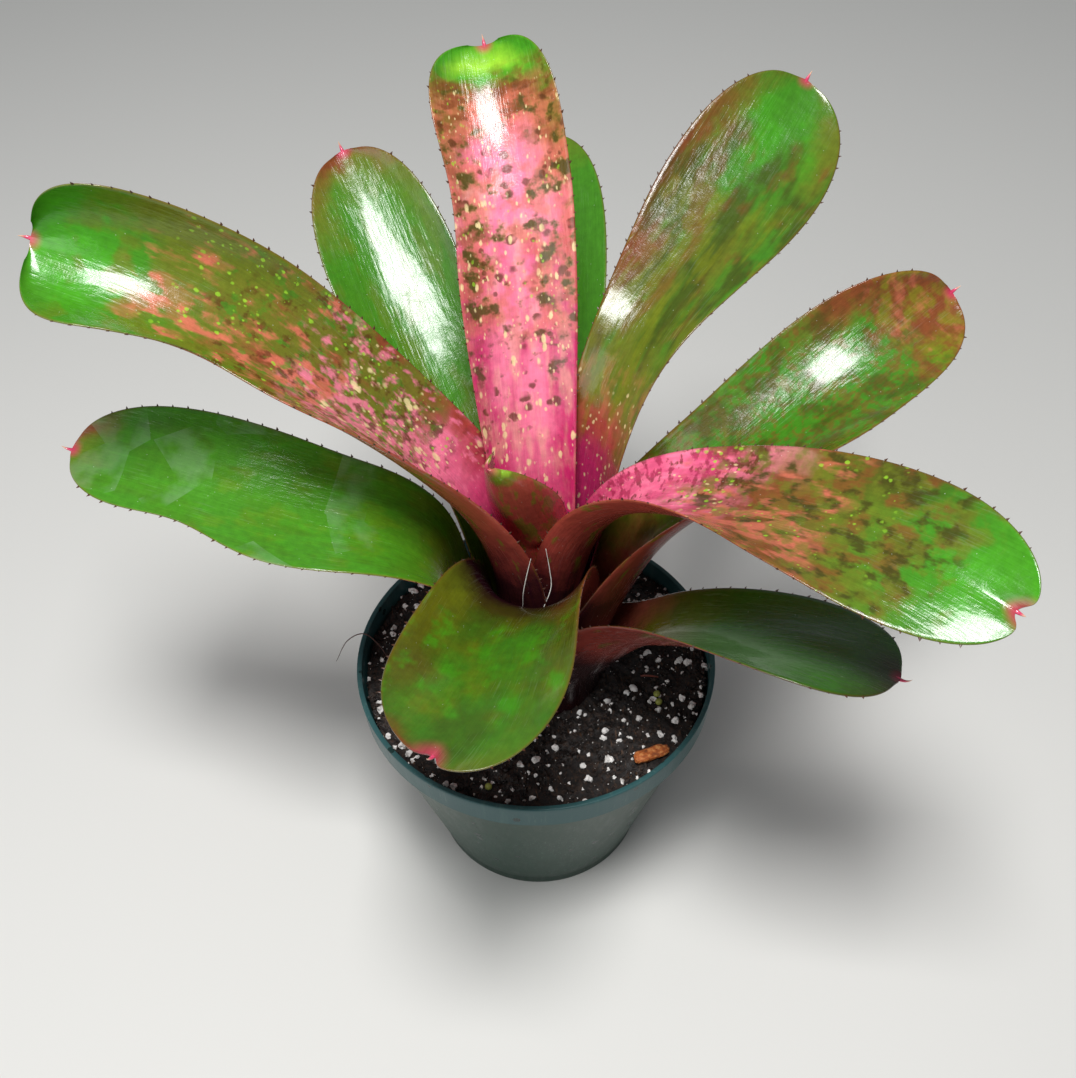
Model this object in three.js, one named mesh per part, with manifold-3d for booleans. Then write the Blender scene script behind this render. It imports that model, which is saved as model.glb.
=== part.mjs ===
// A potted neoregelia bromeliad: eleven strap leaves in a rosette, grown round a
// short stem that stands in a pot of peat and perlite.
// Millimetres and degrees, +Z up, the origin at the middle of the pot's underside.
// +X is the rosette's right, -Y its front. A leaf's turn is its bearing from +X,
// anticlockwise seen from above.

import * as THREE from 'three';
import { mergeVertices } from 'three/addons/utils/BufferGeometryUtils.js';
import Module from 'manifold-3d';

const wasm = await Module();
wasm.setup();

// ---- driving dimensions -------------------------------------------------------

const CLEARANCE = 0.35;

const POT = {
  rimRadius: 77.5, height: 110.7, baseRadius: 48, wall: 1.6, floor: 2,
  lipTall: 13, lipProud: 3.6, lipTaper: 0.9, lipLand: 2.2,
  footTall: 6, footStep: 1, sides: 48,
  drainRadius: 4.5, drainCircle: 36, drains: 8,
};

const SOIL = {
  level: 104, edgeDip: 1.2, lump: 0.9, sides: 40, rings: 8,
  crownRadius: 33, crownFloor: 100,
  grains: 34, grainMin: 1.6, grainMax: 2.6, grainSeed: 11,
  chip: { x: 47, y: -48, length: 15, width: 5.5, tall: 2.4, turn: 24 },
};

const STEM = { radius: 6, bottom: 70, shoulder: 112, top: 117, sides: 24 };

const LEAF = {
  rows: 18, tipCrowding: 1.6, columns: 6, midribSteps: 220,
  baseThick: 1.2, tipThick: 1.05, edgeThick: 0.7,
  innerFoot: 7.5, footPitch: 2.25, uprightUntil: 0.15, bendSoftness: 0.15,
  waistAt: 0.78, waistSpread: 0.12,
};

const SPINE = { spacing: 13, length: 1.7, base: 1.8, root: 1.2, lean: 0.8, from: 0.25, until: 0.95 };
// The tip is drawn in or out this far to each side of the midrib, and this far down it.
const NOTCH = { width: 3.5, reach: 12 };
const MUCRO = { length: 4.5, radius: 1.1, root: 3, hook: 2 };

// One row a leaf, youngest first: each one's sheath stands on the crown outside the one
// before. wrap is half the angle that the sheath clasps. rise, bend and droop set the
// midrib's slope: its lean above the foot, the turn outward round bendAt, and the slow fall
// to the tip. sweep and sway carry its bearing sideways, roll and twist turn the blade about
// the midrib. neck is the width at neckAt over the widest, cup half the blade's channel
// angle, flare what the channel opens by at the tip, and waist a dip in one margin, positive
// on the anticlockwise side. blunt squares the tip off, notch is how far it is drawn back at
// the midrib, negative where it is drawn out to a point, and crease how deep it folds there.
// Most of these values are a least-squares fit's results, rounded to about five degrees, five
// millimetres and 0.05, finer in a few places. The others were moved by hand, for clearance and
// likeness. report.md counts them.
const PLAIN_LEAF = {
  sweep: 0, sway: 0, roll: 0, twist: 0, neck: 0.75, neckAt: 0.35, widestAt: 0.75, cup: 30,
  flare: 0, wrap: 85, openAt: 0.5, waist: 0, blunt: 2.3, notch: -1.5, crease: 0.4,
};

const LEAVES = [
  { name: 'leaf_heart', turn: 230, rise: 89, bend: 30, bendAt: 0.6, droop: -20, sweep: -10,
    sway: -5, twist: -20, length: 140, width: 48, neck: 0.5, neckAt: 0.6, widestAt: 0.65,
    cup: 100, flare: 10, openAt: 0.65, colour: 0x8a5a3c },
  { name: 'leaf_back_rose', turn: 92, rise: 86, bend: 20, bendAt: 0.3, droop: 30, sweep: 8,
    roll: 15, twist: -15, length: 265, width: 56, neck: 0.7, widestAt: 0.85, cup: 35,
    flare: -15, openAt: 0.6, waist: 6, blunt: 3, notch: -0.5, crease: 1, colour: 0xd0627c },
  { name: 'leaf_right_rose', turn: -12, rise: 83, bend: 50, bendAt: 0.4, droop: 35,
    sweep: -35, roll: -35, twist: 30, length: 270, width: 62, neck: 0.7, widestAt: 0.7,
    flare: 20, wrap: 110, openAt: 0.85, notch: 4.5, crease: 2.5, colour: 0xb4684e },
  { name: 'leaf_left_rose', turn: 175, rise: 90, bend: 30, bendAt: 0.3, droop: 45, sweep: -5,
    roll: 60, twist: -35, length: 285, width: 62, neck: 0.95, neckAt: 0.25, widestAt: 0.9,
    cup: 45, flare: -25, wrap: 105, openAt: 0.75, waist: 12, blunt: 3, notch: -1, crease: 1,
    colour: 0xa2714a },
  { name: 'leaf_back_right', turn: 45, rise: 75, bend: 60, bendAt: 0.5, droop: -15, sweep: 10,
    roll: -30, twist: 20, length: 285, width: 62, neck: 0.55, neckAt: 0.45, widestAt: 0.8,
    flare: 10, colour: 0x5f8f35 },
  { name: 'leaf_front', turn: 270, rise: 90, bend: 65, bendAt: 0.4, droop: 15, sweep: -35,
    sway: -10, twist: -10, length: 180, width: 68, neck: 0.95, widestAt: 0.7, cup: 35,
    flare: 25, wrap: 95, openAt: 0.95, notch: 5, crease: 2.5, colour: 0x5c8432 },
  { name: 'leaf_back_left', turn: 120, rise: 79, bend: 40, bendAt: 0.35, droop: 5, sway: 5,
    roll: 15, twist: -5, length: 235, width: 56, neck: 0.7, colour: 0x4f8c2c },
  { name: 'leaf_behind', turn: 85, rise: 75, bend: 40, bendAt: 0.35, droop: 15, sweep: 5,
    length: 240, width: 56, openAt: 0.4, colour: 0x4f8c2c },
  { name: 'leaf_right', turn: 5, rise: 70, bend: 35, bendAt: 0.4, droop: 20, sweep: 30,
    sway: -5, roll: -40, twist: 30, length: 235, width: 64, neck: 0.95, neckAt: 0.45,
    widestAt: 0.65, cup: 40, wrap: 90, openAt: 0.85, waist: -4, colour: 0x587f30 },
  { name: 'leaf_low_right', turn: -40, rise: 65, bend: 15, bendAt: 0.4, droop: 55, sweep: 10,
    sway: -5, roll: 15, twist: 15, length: 175, width: 62, neck: 0.9, flare: 25,
    openAt: 0.9, notch: -1, colour: 0x3c4f28 },
  { name: 'leaf_low_left', turn: 190, rise: 85, bend: 70, bendAt: 0.4, droop: 15, sweep: -25,
    sway: 10, roll: 20, length: 235, width: 58, neckAt: 0.3, widestAt: 0.7, cup: 20,
    wrap: 70, openAt: 0.55, waist: 10, colour: 0x4c8034 },
].map((leaf, order) => ({ ...PLAIN_LEAF, foot: LEAF.innerFoot + LEAF.footPitch * order, ...leaf }));

// ---- small helpers ------------------------------------------------------------

const radians = THREE.MathUtils.degToRad;

function ease(x) {
  const s = Math.min(Math.max(x, 0), 1);
  return s * s * (3 - 2 * s);
}

function mix(a, b, s) {
  return a + (b - a) * s;
}

function seeded(seed) {
  let state = seed;
  return () => {
    state = (state * 1664525 + 1013904223) % 4294967296;
    return state / 4294967296;
  };
}

function solidOf(points, faces) {
  return new wasm.Manifold(new wasm.Mesh({
    numProp: 3,
    vertProperties: new Float32Array(points.flatMap((p) => [p.x, p.y, p.z])),
    triVerts: new Uint32Array(faces.flat()),
  }));
}

function solidOfGeometry(geometry) {
  const bare = geometry.clone();
  bare.deleteAttribute('normal');
  bare.deleteAttribute('uv');
  const merged = mergeVertices(bare, 1e-4);
  return new wasm.Manifold(new wasm.Mesh({
    numProp: 3,
    vertProperties: new Float32Array(merged.attributes.position.array),
    triVerts: new Uint32Array(merged.index.array),
  }));
}

function geometryOf(solid) {
  const mesh = solid.getMesh();
  const geometry = new THREE.BufferGeometry();
  const places = [];
  for (let i = 0; i < mesh.vertProperties.length; i += mesh.numProp) {
    places.push(mesh.vertProperties[i], mesh.vertProperties[i + 1], mesh.vertProperties[i + 2]);
  }
  geometry.setAttribute('position', new THREE.Float32BufferAttribute(places, 3));
  geometry.setIndex([...mesh.triVerts]);
  geometry.computeVertexNormals();
  return geometry;
}

function node(name, solid, colour, roughness) {
  const material = new THREE.MeshStandardMaterial({ color: colour, roughness, metalness: 0 });
  const mesh = new THREE.Mesh(geometryOf(solid), material);
  mesh.name = name;
  return mesh;
}

// A lathe's profile runs in x = radius, y = height, and its axis stands on Z.
function lathe(profile, sides) {
  const geometry = new THREE.LatheGeometry(profile.map(([r, z]) => new THREE.Vector2(r, z)), sides);
  return solidOfGeometry(geometry.rotateX(Math.PI / 2));
}

// ---- leaves -------------------------------------------------------------------

// The midrib at each fine step: its place, its run, and the blade's side and face directions.
function midribOf(leaf) {
  const frames = [];
  const place = new THREE.Vector3(
    leaf.foot * Math.cos(radians(leaf.turn)), leaf.foot * Math.sin(radians(leaf.turn)),
    SOIL.crownFloor + CLEARANCE);
  const steps = LEAF.midribSteps;
  let before = null;
  for (let i = 0; i <= steps; i += 1) {
    const t = i / steps;
    const bend = ease((t - leaf.bendAt + LEAF.bendSoftness) / (2 * LEAF.bendSoftness));
    const slope = radians(
      90 - (90 - leaf.rise) * ease(t / LEAF.uprightUntil) - leaf.bend * bend - leaf.droop * t * t);
    const bearing = radians(leaf.turn + leaf.sweep * t + leaf.sway * Math.sin(2 * Math.PI * t));
    const turned = radians(leaf.roll * t + leaf.twist * Math.sin(Math.PI * t));
    const run = new THREE.Vector3(
      Math.cos(slope) * Math.cos(bearing), Math.cos(slope) * Math.sin(bearing), Math.sin(slope));
    const level = new THREE.Vector3(-Math.sin(bearing), Math.cos(bearing), 0);
    const up = new THREE.Vector3().crossVectors(run, level);
    const side = level.clone().multiplyScalar(Math.cos(turned)).addScaledVector(up, -Math.sin(turned));
    const face = up.clone().multiplyScalar(Math.cos(turned)).addScaledVector(level, Math.sin(turned));
    if (before) {
      place.addScaledVector(before, leaf.length / steps / 2).addScaledVector(run, leaf.length / steps / 2);
    }
    before = run;
    frames.push({ place: place.clone(), run, side, face });
  }
  return frames;
}

function widthAt(leaf, t) {
  const foot = 2 * leaf.foot * radians(leaf.wrap);
  const neck = leaf.neck * leaf.width;
  if (t < leaf.neckAt) {
    return mix(foot, neck, ease(t / leaf.neckAt));
  }
  if (t < leaf.widestAt) {
    return mix(neck, leaf.width, ease((t - leaf.neckAt) / (leaf.widestAt - leaf.neckAt)));
  }
  const x = (t - leaf.widestAt) / (1 - leaf.widestAt);
  return leaf.width * Math.max(1 - x ** leaf.blunt, 0) ** (1 / leaf.blunt);
}

function halfAngleAt(leaf, t) {
  const blade = leaf.cup - leaf.flare * ease((t - 0.5) / 0.5);
  return radians(mix(leaf.wrap, blade, ease(t / leaf.openAt)));
}

// The place and outward face of the blade's middle skin, t along it and v across, -1 to 1.
function skinAt(leaf, frames, t, v) {
  const { place, run, side, face } = frames[Math.round(t * LEAF.midribSteps)];
  const half = halfAngleAt(leaf, t);
  const width = widthAt(leaf, t);
  const radius = width / 2 / half;
  const dip = v * leaf.waist > 0
    ? Math.abs(leaf.waist) * Math.exp(-(((t - LEAF.waistAt) / LEAF.waistSpread) ** 2)) * v * v : 0;
  const angle = half * v * (1 - dip / Math.max(width / 2, 1));
  const point = place.clone()
    .addScaledVector(side, radius * Math.sin(angle))
    .addScaledVector(face, radius * (1 - Math.cos(angle)));
  const close = Math.exp(-((radius * angle / NOTCH.width) ** 2))
    * Math.exp((-(1 - t) * leaf.length) / NOTCH.reach);
  const normal = face.clone().multiplyScalar(Math.cos(angle)).addScaledVector(side, -Math.sin(angle));
  const outward = side.clone().multiplyScalar(Math.cos(angle)).addScaledVector(face, Math.sin(angle));
  point.addScaledVector(run, -leaf.notch * close).addScaledVector(normal, -leaf.crease * close);
  return { point, normal, outward, run };
}

function thicknessAt(t, v) {
  return mix(mix(LEAF.baseThick, LEAF.tipThick, t), LEAF.edgeThick, v * v);
}

// How far along the leaf each row of its facets lies, closer together towards the tip.
function rowPlace(row) {
  return 1 - (1 - row / LEAF.rows) ** LEAF.tipCrowding;
}

// The faceted margin runs straight from row to row.
function marginAt(leaf, frames, t, edge) {
  const row = Math.floor(LEAF.rows * (1 - (1 - t) ** (1 / LEAF.tipCrowding)));
  const before = skinAt(leaf, frames, rowPlace(row), edge);
  const after = skinAt(leaf, frames, rowPlace(row + 1), edge);
  const part = (t - rowPlace(row)) / (rowPlace(row + 1) - rowPlace(row));
  return { ...skinAt(leaf, frames, t, edge), point: before.point.lerp(after.point, part) };
}

function bladeSolid(leaf, frames) {
  const points = [];
  const faces = [];
  const across = LEAF.columns + 1;
  const upper = (row, column) => (row * across + column) * 2;
  const lower = (row, column) => upper(row, column) + 1;
  const quad = (a, b, c, d) => faces.push([a, b, c], [a, c, d]);
  const addPair = (t, v) => {
    const { point, normal } = skinAt(leaf, frames, t, v);
    const half = thicknessAt(t, v) / 2;
    points.push(point.clone().addScaledVector(normal, half), point.clone().addScaledVector(normal, -half));
  };
  for (let row = 0; row < LEAF.rows; row += 1) {
    const t = rowPlace(row);
    for (let column = 0; column < across; column += 1) {
      addPair(t, (2 * column) / LEAF.columns - 1);
    }
  }
  addPair(1, 0);
  for (let row = 0; row + 1 < LEAF.rows; row += 1) {
    for (let column = 0; column < LEAF.columns; column += 1) {
      quad(upper(row, column), upper(row + 1, column), upper(row + 1, column + 1), upper(row, column + 1));
      quad(lower(row, column), lower(row, column + 1), lower(row + 1, column + 1), lower(row + 1, column));
    }
    quad(upper(row, 0), lower(row, 0), lower(row + 1, 0), upper(row + 1, 0));
    quad(upper(row, LEAF.columns), upper(row + 1, LEAF.columns),
      lower(row + 1, LEAF.columns), lower(row, LEAF.columns));
  }
  const last = LEAF.rows - 1;
  const tip = LEAF.rows * across * 2;
  for (let column = 0; column < LEAF.columns; column += 1) {
    quad(upper(0, column), upper(0, column + 1), lower(0, column + 1), lower(0, column));
    faces.push([upper(last, column), tip, upper(last, column + 1)]);
    faces.push([lower(last, column), lower(last, column + 1), tip + 1]);
  }
  faces.push([upper(last, 0), lower(last, 0), tip + 1], [upper(last, 0), tip + 1, tip]);
  faces.push([upper(last, LEAF.columns), tip, tip + 1], [upper(last, LEAF.columns), tip + 1, lower(last, LEAF.columns)]);
  return solidOf(points, faces);
}

// A three-sided spine with its root sunk in the margin.
function spineSolid(leaf, frames, t, edge) {
  const { point, normal, outward, run } = marginAt(leaf, frames, t, edge);
  const out = outward.multiplyScalar(edge);
  const root = point.clone().addScaledVector(out, -SPINE.root);
  const points = [
    root.clone().addScaledVector(run, SPINE.base / 2).addScaledVector(normal, -LEAF.edgeThick * 0.3),
    root.clone().addScaledVector(run, -SPINE.base / 2).addScaledVector(normal, -LEAF.edgeThick * 0.3),
    root.clone().addScaledVector(normal, LEAF.edgeThick * 0.4),
    point.clone().addScaledVector(out, SPINE.length).addScaledVector(run, SPINE.lean),
  ];
  const faces = edge > 0
    ? [[0, 2, 1], [0, 1, 3], [1, 2, 3], [2, 0, 3]]
    : [[0, 1, 2], [0, 3, 1], [1, 3, 2], [2, 3, 0]];
  return solidOf(points, faces);
}

// The hard point at the tip, hooked towards the blade's upper face.
function mucroSolid(leaf, frames) {
  const { point, normal, run } = skinAt(leaf, frames, 1, 0);
  const side = new THREE.Vector3().crossVectors(run, normal);
  const sides = 5;
  const rings = [[-MUCRO.root, 0.75, 0], [0, 1, 0.1], [MUCRO.length * 0.5, 0.55, 0.4]];
  const points = [];
  const faces = [];
  for (const [along, scale, hooked] of rings) {
    const radius = MUCRO.radius * scale * (along < 0 ? 0.7 : 1);
    for (let i = 0; i < sides; i += 1) {
      const angle = (2 * Math.PI * i) / sides;
      points.push(point.clone().addScaledVector(run, along)
        .addScaledVector(normal, hooked * MUCRO.hook + radius * Math.sin(angle) * 0.6)
        .addScaledVector(side, radius * Math.cos(angle)));
    }
  }
  points.push(point.clone().addScaledVector(run, MUCRO.length).addScaledVector(normal, MUCRO.hook));
  const tip = points.length - 1;
  for (let ring = 0; ring + 1 < rings.length; ring += 1) {
    for (let i = 0; i < sides; i += 1) {
      const a = ring * sides + i;
      const b = ring * sides + ((i + 1) % sides);
      faces.push([a, a + sides, b + sides], [a, b + sides, b]);
    }
  }
  const top = (rings.length - 1) * sides;
  for (let i = 0; i < sides; i += 1) {
    faces.push([top + i, tip, top + ((i + 1) % sides)]);
  }
  for (let i = 1; i + 1 < sides; i += 1) {
    faces.push([0, i, i + 1]);
  }
  return solidOf(points, faces);
}

function leafSolid(leaf) {
  const frames = midribOf(leaf);
  const pieces = [bladeSolid(leaf, frames), mucroSolid(leaf, frames)];
  const gap = SPINE.spacing / leaf.length;
  for (const edge of [-1, 1]) {
    for (let t = SPINE.from; t < SPINE.until; t += gap) {
      pieces.push(spineSolid(leaf, frames, t, edge));
    }
  }
  return wasm.Manifold.union(pieces);
}

// ---- pot, soil and stem ---------------------------------------------------------

function potWallRadius(z) {
  const bodyTop = POT.height - POT.lipTall;
  const shoulder = POT.rimRadius - POT.lipProud;
  const grown = mix(POT.baseRadius + POT.footStep, shoulder, (z - POT.footTall) / (bodyTop - POT.footTall));
  return Math.min(grown, shoulder);
}

function potSolid() {
  const lipFoot = POT.height - POT.lipTall;
  const insideRadius = POT.rimRadius - POT.lipLand;
  const profile = [
    [0, 0],
    [POT.baseRadius - 1, 0],
    [POT.baseRadius, 1],
    [POT.baseRadius + 0.4, POT.footTall],
    [potWallRadius(POT.footTall), POT.footTall + 0.8],
    [potWallRadius(lipFoot), lipFoot],
    [POT.rimRadius - POT.lipTaper, lipFoot],
    [POT.rimRadius, POT.height - 0.7],
    [POT.rimRadius - 0.6, POT.height],
    [insideRadius + 0.5, POT.height],
    [insideRadius, POT.height - 0.7],
    [insideRadius - 0.3, lipFoot + 3],
    [potWallRadius(lipFoot) - POT.wall, lipFoot - 1],
    [potWallRadius(POT.footTall) - POT.wall, POT.footTall],
    [POT.baseRadius - POT.wall - 1, POT.floor],
    [0, POT.floor],
  ];
  let pot = lathe(profile, POT.sides);
  for (let i = 0; i < POT.drains; i += 1) {
    const angle = (2 * Math.PI * i) / POT.drains;
    const hole = new THREE.CylinderGeometry(POT.drainRadius, POT.drainRadius, POT.floor * 3, 12)
      .rotateX(Math.PI / 2)
      .translate(POT.drainCircle * Math.cos(angle), POT.drainCircle * Math.sin(angle), 0);
    pot = pot.subtract(solidOfGeometry(hole));
  }
  return pot;
}

function soilLift(x, y) {
  return SOIL.lump * (0.5 * Math.sin(0.31 * x + 1.1) * Math.cos(0.27 * y)
    + 0.35 * Math.sin(0.83 * x - 0.4 * y) + 0.3 * Math.cos(0.71 * y + 0.52 * x + 2));
}

function soilHeight(x, y) {
  const radius = Math.hypot(x, y);
  const outer = POT.rimRadius - POT.lipLand;
  return SOIL.level - SOIL.edgeDip * ease((radius - 50) / (outer - 50)) + soilLift(x, y);
}

function soilBody() {
  const points = [];
  const faces = [];
  const rings = [];
  const wallRadius = (z) => potWallRadius(z) - POT.wall - CLEARANCE;
  const ring = (radius, height) => {
    rings.push(points.length);
    for (let i = 0; i < SOIL.sides; i += 1) {
      const angle = (2 * Math.PI * i) / SOIL.sides;
      const x = radius * Math.cos(angle);
      const y = radius * Math.sin(angle);
      points.push(new THREE.Vector3(x, y, height(x, y)));
    }
  };
  const level = (z) => () => z;
  const lipFoot = POT.height - POT.lipTall;
  ring(POT.baseRadius - POT.wall - 2.5, level(POT.floor + CLEARANCE));
  ring(wallRadius(POT.footTall) - 0.4, level(POT.footTall + 1));
  ring(wallRadius(lipFoot) - 0.4, level(lipFoot - 1));
  const edge = wallRadius(lipFoot);
  for (let i = 0; i <= SOIL.rings; i += 1) {
    ring(mix(edge, SOIL.crownRadius, i / SOIL.rings), soilHeight);
  }
  ring(SOIL.crownRadius - 1.5, level(SOIL.crownFloor));
  for (let k = 0; k + 1 < rings.length; k += 1) {
    for (let i = 0; i < SOIL.sides; i += 1) {
      const next = (i + 1) % SOIL.sides;
      faces.push([rings[k] + i, rings[k] + next, rings[k + 1] + next]);
      faces.push([rings[k] + i, rings[k + 1] + next, rings[k + 1] + i]);
    }
  }
  const floorMiddle = points.push(new THREE.Vector3(0, 0, POT.floor + CLEARANCE)) - 1;
  const crownMiddle = points.push(new THREE.Vector3(0, 0, SOIL.crownFloor)) - 1;
  const lastRing = rings[rings.length - 1];
  for (let i = 0; i < SOIL.sides; i += 1) {
    const next = (i + 1) % SOIL.sides;
    faces.push([floorMiddle, rings[0] + next, rings[0] + i]);
    faces.push([crownMiddle, lastRing + i, lastRing + next]);
  }
  return solidOf(points, faces);
}

function grainSolids() {
  const random = seeded(SOIL.grainSeed);
  const grains = [];
  while (grains.length < SOIL.grains) {
    const angle = 2 * Math.PI * random();
    const radius = mix(SOIL.crownRadius + 4, POT.rimRadius - 10, Math.sqrt(random()));
    const x = radius * Math.cos(angle);
    const y = radius * Math.sin(angle);
    const size = mix(SOIL.grainMin, SOIL.grainMax, random());
    const grain = new THREE.OctahedronGeometry(size, 0)
      .scale(1, mix(0.7, 1, random()), mix(0.7, 0.95, random()))
      .rotateZ(Math.PI * random())
      .rotateX(0.6 * random())
      .translate(x, y, soilHeight(x, y) - 0.1 * size);
    grains.push(solidOfGeometry(grain));
  }
  return grains;
}

function chipSolid() {
  const { x, y, length, width, tall, turn } = SOIL.chip;
  const chip = new THREE.CylinderGeometry(width / 2, width / 2, length, 7)
    .scale(1, 1, tall / width)
    .rotateZ(Math.PI / 2 + radians(turn))
    .translate(x, y, soilHeight(x, y) + tall * 0.2);
  return solidOfGeometry(chip);
}

function stemProfile(extra) {
  return [
    [0, STEM.bottom - extra],
    [STEM.radius * 0.7 + extra, STEM.bottom - extra],
    [STEM.radius + extra, STEM.bottom + 8],
    [STEM.radius + extra, STEM.shoulder],
    [STEM.radius * 0.6 + extra, STEM.top - 1.5],
    [0, STEM.top + extra],
  ];
}

function soilSolid() {
  const socket = lathe(stemProfile(CLEARANCE), STEM.sides);
  return wasm.Manifold.union([soilBody(), ...grainSolids(), chipSolid()]).subtract(socket);
}

// ---- the plant --------------------------------------------------------------------

const bromeliad = new THREE.Group();
bromeliad.add(node('pot', potSolid(), 0x3c5c58, 0.45));
bromeliad.add(node('soil', soilSolid(), 0x2a2019, 1));
bromeliad.add(node('stem', lathe(stemProfile(0), STEM.sides), 0x7d6a48, 0.8));
for (const leaf of LEAVES) {
  bromeliad.add(node(leaf.name, leafSolid(leaf), leaf.colour, 0.3));
}

export default bromeliad;
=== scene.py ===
import math

import bmesh
import bpy
import numpy as np
from mathutils import Matrix, Vector, noise


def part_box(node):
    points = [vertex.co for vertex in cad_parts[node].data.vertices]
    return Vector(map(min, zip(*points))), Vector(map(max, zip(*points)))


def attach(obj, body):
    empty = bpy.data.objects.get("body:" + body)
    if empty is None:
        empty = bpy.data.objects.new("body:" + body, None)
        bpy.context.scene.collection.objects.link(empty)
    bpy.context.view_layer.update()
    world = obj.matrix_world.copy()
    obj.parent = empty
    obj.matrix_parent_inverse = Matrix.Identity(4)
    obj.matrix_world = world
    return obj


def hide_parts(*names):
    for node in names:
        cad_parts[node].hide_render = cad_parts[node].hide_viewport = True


bl_info = {
    "name": "Potted Neoregelia",
    "version": (1, 0, 0),
    "blender": (4, 5, 0),
    "location": "View3D > Sidebar > Neoregelia",
    "description": "Leaves, pot and soil of a potted neoregelia bromeliad, built round its packed frame",
    "category": "Add Mesh",
}

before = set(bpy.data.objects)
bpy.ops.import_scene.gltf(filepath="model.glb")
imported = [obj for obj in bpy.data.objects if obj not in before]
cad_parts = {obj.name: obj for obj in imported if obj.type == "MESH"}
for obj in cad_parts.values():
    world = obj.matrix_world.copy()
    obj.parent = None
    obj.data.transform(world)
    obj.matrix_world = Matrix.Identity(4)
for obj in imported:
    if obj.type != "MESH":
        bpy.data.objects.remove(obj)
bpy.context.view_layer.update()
POT_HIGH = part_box("pot")[1]
SOIL_LOW, SOIL_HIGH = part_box("soil")
LEAF_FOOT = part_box("leaf_heart")[0].z
MM = 0.001


# ---- how the leaves grow ----------------------------------------------------------------

# Lengths in millimetres, angles in degrees, the same rule and the same values as the solids.
# foot is the sheath's radius where it stands, wrap half the angle that it clasps. rise, bend
# and droop set the midrib's slope, sweep and sway its bearing, roll and twist the blade's turn
# about it. blunt squares the tip off, notch is how far it is drawn back at the midrib, negative
# where it is drawn out, and crease how deep it folds there. Most values are a least-squares
# fit's results, rounded, and the others were moved one by one, as in the solids' source.
INNER_FOOT = 7.5
FOOT_PITCH = 2.25
UPRIGHT_UNTIL = 0.15
BEND_SOFTNESS = 0.15
WAIST_AT = 0.78
WAIST_SPREAD = 0.12
BASE_THICK, TIP_THICK, EDGE_THICK = 1.2, 1.05, 0.7
MIDRIB_STEPS = 220

PLAIN_LEAF = {
    "sweep": 0, "sway": 0, "roll": 0, "twist": 0, "neck": 0.75, "neck_at": 0.35, "widest_at": 0.75,
    "cup": 30, "flare": 0, "wrap": 85, "open_at": 0.5, "waist": 0, "blunt": 2.3, "notch": -1.5,
    "crease": 0.4,
}

LEAVES = {
    "leaf_heart": {
        "turn": 230, "rise": 89, "bend": 30, "bend_at": 0.6, "droop": -20, "sweep": -10,
        "sway": -5, "twist": -20, "length": 140, "width": 48, "neck": 0.5, "neck_at": 0.6,
        "widest_at": 0.65, "cup": 100, "flare": 10, "open_at": 0.65},
    "leaf_back_rose": {
        "turn": 92, "rise": 86, "bend": 20, "bend_at": 0.3, "droop": 30, "sweep": 8,
        "roll": 15, "twist": -15, "length": 265, "width": 56, "neck": 0.7, "widest_at": 0.85,
        "cup": 35, "flare": -15, "open_at": 0.6, "waist": 6, "blunt": 3,
        "notch": -0.5, "crease": 1.0},
    "leaf_right_rose": {
        "turn": -12, "rise": 83, "bend": 50, "bend_at": 0.4, "droop": 35, "sweep": -35,
        "roll": -35, "twist": 30, "length": 270, "width": 62, "neck": 0.7, "widest_at": 0.7,
        "flare": 20, "wrap": 110, "open_at": 0.85, "notch": 4.5, "crease": 2.5},
    "leaf_left_rose": {
        "turn": 175, "rise": 90, "bend": 30, "bend_at": 0.3, "droop": 45, "sweep": -5,
        "roll": 60, "twist": -35, "length": 285, "width": 62, "neck": 0.95, "neck_at": 0.25,
        "widest_at": 0.9, "cup": 45, "flare": -25, "wrap": 105, "open_at": 0.75, "waist": 12,
        "blunt": 3, "notch": -1.0, "crease": 1.0},
    "leaf_back_right": {
        "turn": 45, "rise": 75, "bend": 60, "bend_at": 0.5, "droop": -15, "sweep": 10,
        "roll": -30, "twist": 20, "length": 285, "width": 62, "neck": 0.55, "neck_at": 0.45,
        "widest_at": 0.8, "flare": 10},
    "leaf_front": {
        "turn": 270, "rise": 90, "bend": 65, "bend_at": 0.4, "droop": 15, "sweep": -35,
        "sway": -10, "twist": -10, "length": 180, "width": 68, "neck": 0.95, "widest_at": 0.7,
        "cup": 35, "flare": 25, "wrap": 95, "open_at": 0.95, "notch": 5.0, "crease": 2.5},
    "leaf_back_left": {
        "turn": 120, "rise": 79, "bend": 40, "bend_at": 0.35, "droop": 5, "sway": 5,
        "roll": 15, "twist": -5, "length": 235, "width": 56, "neck": 0.7},
    "leaf_behind": {
        "turn": 85, "rise": 75, "bend": 40, "bend_at": 0.35, "droop": 15, "sweep": 5,
        "length": 240, "width": 56, "open_at": 0.4},
    "leaf_right": {
        "turn": 5, "rise": 70, "bend": 35, "bend_at": 0.4, "droop": 20, "sweep": 30,
        "sway": -5, "roll": -40, "twist": 30, "length": 235, "width": 64, "neck": 0.95,
        "neck_at": 0.45, "widest_at": 0.65, "cup": 40, "wrap": 90, "open_at": 0.85, "waist": -4},
    "leaf_low_right": {
        "turn": -40, "rise": 65, "bend": 15, "bend_at": 0.4, "droop": 55, "sweep": 10,
        "sway": -5, "roll": 15, "twist": 15, "length": 175, "width": 62, "neck": 0.9,
        "flare": 25, "open_at": 0.9, "notch": -1.0},
    "leaf_low_left": {
        "turn": 190, "rise": 85, "bend": 70, "bend_at": 0.4, "droop": 15, "sweep": -25,
        "sway": 10, "roll": 20, "length": 235, "width": 58, "neck_at": 0.3, "widest_at": 0.7,
        "cup": 20, "wrap": 70, "open_at": 0.55, "waist": 10},
}
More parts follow.
